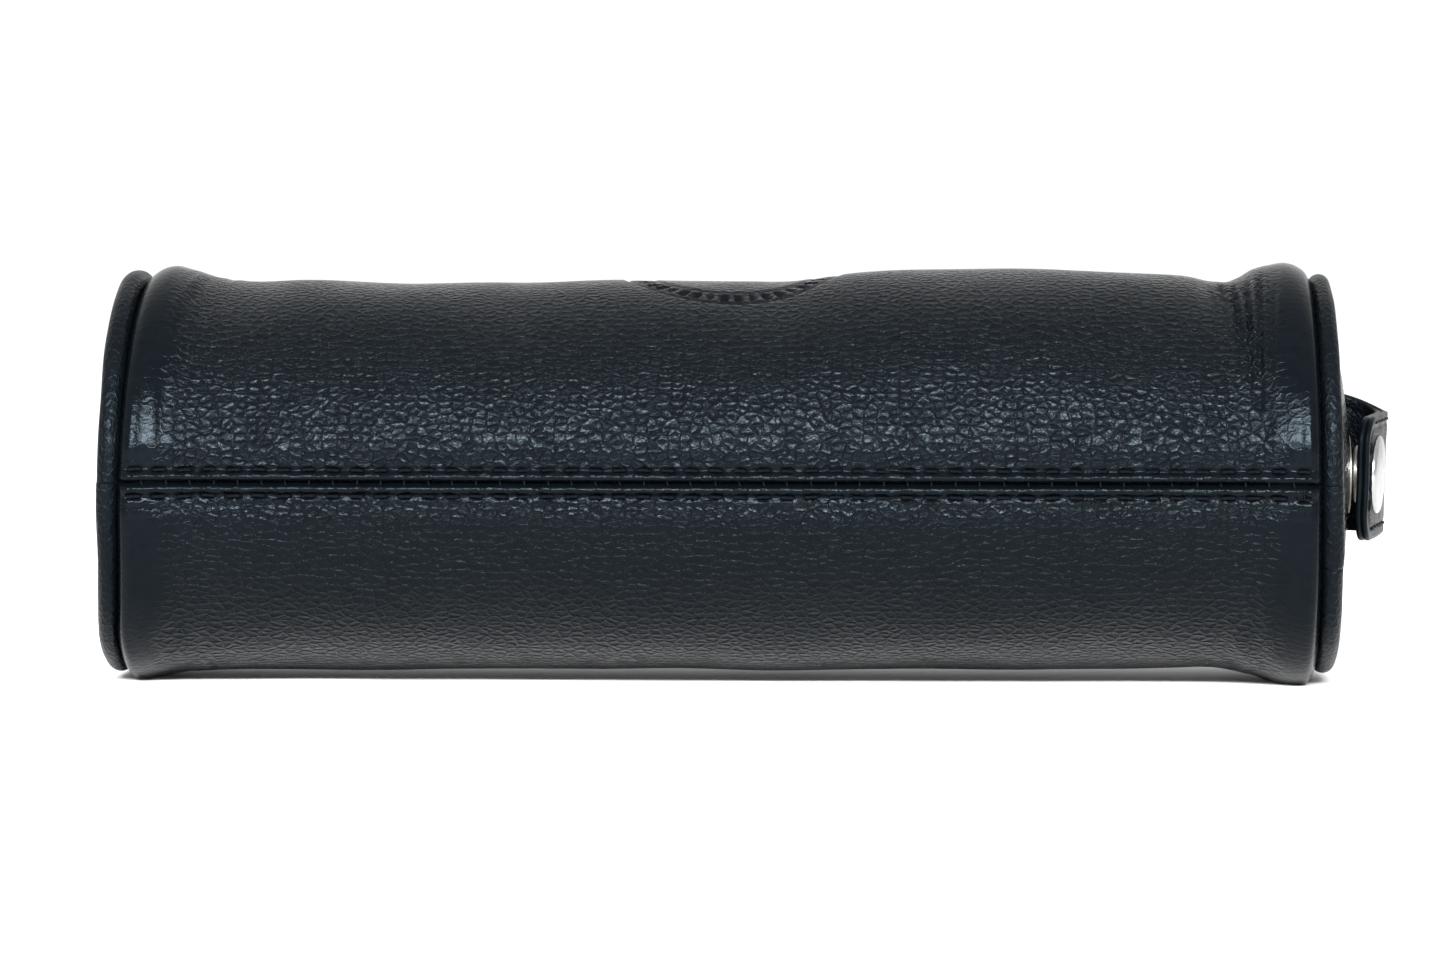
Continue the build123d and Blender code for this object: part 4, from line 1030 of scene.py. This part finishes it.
def make_end_cover(end, side):
    """The small leather tab over each end of the tapes, with a rolled edge."""
    x = graded([WALL_END - 7.0, (WALL_END - 5.8, 0.12), (WALL_END, 0.3)])
    half_arc = 4.6 / ZIP_RADIUS
    theta = np.linspace(pi - half_arc, pi + half_arc, 60)
    grid_x, grid_theta = np.meshgrid(x, theta, indexing="ij")
    near = grid_x - x[0]
    r = ZIP_RADIUS + 0.35 + 1.15 * np.sqrt(1 - (1 - np.clip(near / 1.1, 0, 1)) ** 2)
    r = r + 0.05 * ripples(grid_x, grid_theta * 31, 5, 80) - 0.5 * smoothstep(1.2, 0, WALL_END - grid_x)
    points = barrel(side * grid_x, grid_theta, r)
    uv = np.stack([side * grid_x / 10, grid_theta * 3.1], axis=-1)
    piece = mesh_piece(
        f"{end}_cover_leather", world(points), faces_of(*grid_x.shape), PIPING_LEATHER, uv,
        {"grain": np.ones(grid_x.size)}, flip=side > 0,
    )
    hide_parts(f"{end}_zipper_end_cover")
    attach(piece, "pouch")


for end, side in (("left", -1), ("right", 1)):
    make_end_cover(end, side)


def make_pull_tag():
    """The leather tag on the puller: two leaves folded round the bar, pinched and stitched."""
    bar = local(JOINTS["tag_hinge"]["pos_m"])
    length, half, leaf, loop = 30.0, 4.0, 1.0, 0.8
    s = graded([0, (0.8, 0.1), (length, 0.3)])
    t = graded([0, (half - 0.8, 0.3), (half, 0.1)])
    t = np.concatenate([-t[:0:-1], t])
    grid_s, grid_t = np.meshgrid(s, t, indexing="ij")
    narrow = 1 - 0.2 * smoothstep(7.0, 5.4, grid_s)
    corner = 3.0
    back = length - grid_s
    squeeze = np.where(back < corner, np.sqrt(np.maximum(corner**2 - (corner - back) ** 2, 0)) - corner, 0)
    width = half * narrow + squeeze
    z = grid_t / half * width
    edge = np.clip(np.minimum(width - np.abs(z), back), 0, None)
    full = np.sqrt(1 - (1 - np.clip(edge / 0.4, 0, 1)) ** 2)
    spread = (loop + leaf - 0.05) * np.sqrt(np.maximum(1 - ((grid_s - 1.8) / 1.8) ** 2, 0)) * (grid_s < 1.8)
    body = np.where(grid_s < 1.8, spread, loop + leaf + (leaf - loop - leaf) * smoothstep(1.8, 5.0, grid_s))
    line = 0.14 * bump(np.abs(z) - 2.5, 0.35) * smoothstep(8, 9, grid_s) * smoothstep(27.5, 26.5, grid_s)
    sheets = []
    for way in (1, -1):
        y = bar.y + way * (body * full - line)
        points = np.stack([bar.x + 1.8 - grid_s, y + 0 * grid_s, bar.z + z], axis=-1)
        quads = faces_of(*grid_s.shape)
        sheets.append((points, quads if way > 0 else quads[:, ::-1]))
    points, quads = join_grids(sheets)
    uv = np.stack([grid_s / 10, z / 10], axis=-1).reshape(-1, 2)
    grain = np.tile(smoothstep(0.1, 0.8, edge).ravel(), 2)
    uv = np.concatenate([uv, uv + 4])
    piece = mesh_piece("pull_tag_leather", world(points), quads, TAB_LEATHER, uv, {"grain": grain})
    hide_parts("pull_tag")
    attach(piece, "pull_tag")
    runs = []
    for side in (-1, 1):
        spots = bar.x - 7.4 - 2.9 * np.arange(7)
        for a, b in zip(spots, spots[1:]):
            y = bar.y + leaf - 0.08
            z0 = bar.z + side * 2.5
            runs.append(((a - 0.3, y, z0), (b + 0.3, y, z0), (0, 1, 0)))
    stitched("pull_tag_thread", runs, ["pull_tag_stitches"], "pull_tag", radius=0.22)


make_pull_tag()

# ---- CAD nodes that stay, with finished materials -------------------------------------------------------
KEPT = {
    ZIP_METAL: ["zipper_teeth_front", "zipper_teeth_back", "zipper_top_stops", "zipper_bottom_stop",
                "zipper_slider", "zipper_puller"],
    # the snap's inner metal takes the darker nickel, whose colour is painted shade
    SHADED_NICKEL: ["snap_stud", "snap_socket", "snap_washer"],
}
HIDDEN = ["body_lining", "left_end_board", "right_end_board", "left_end_lining",
          "right_end_lining", "left_seam_binding", "right_seam_binding"]
INNER = woven("inner_cloth", (0.05, 0.05, 0.055))
for material, names in [*KEPT.items(), (INNER, HIDDEN)]:
    for name in names:
        slots = frame["nodes"][name].data.materials
        for index in range(len(slots)):
            slots[index] = material
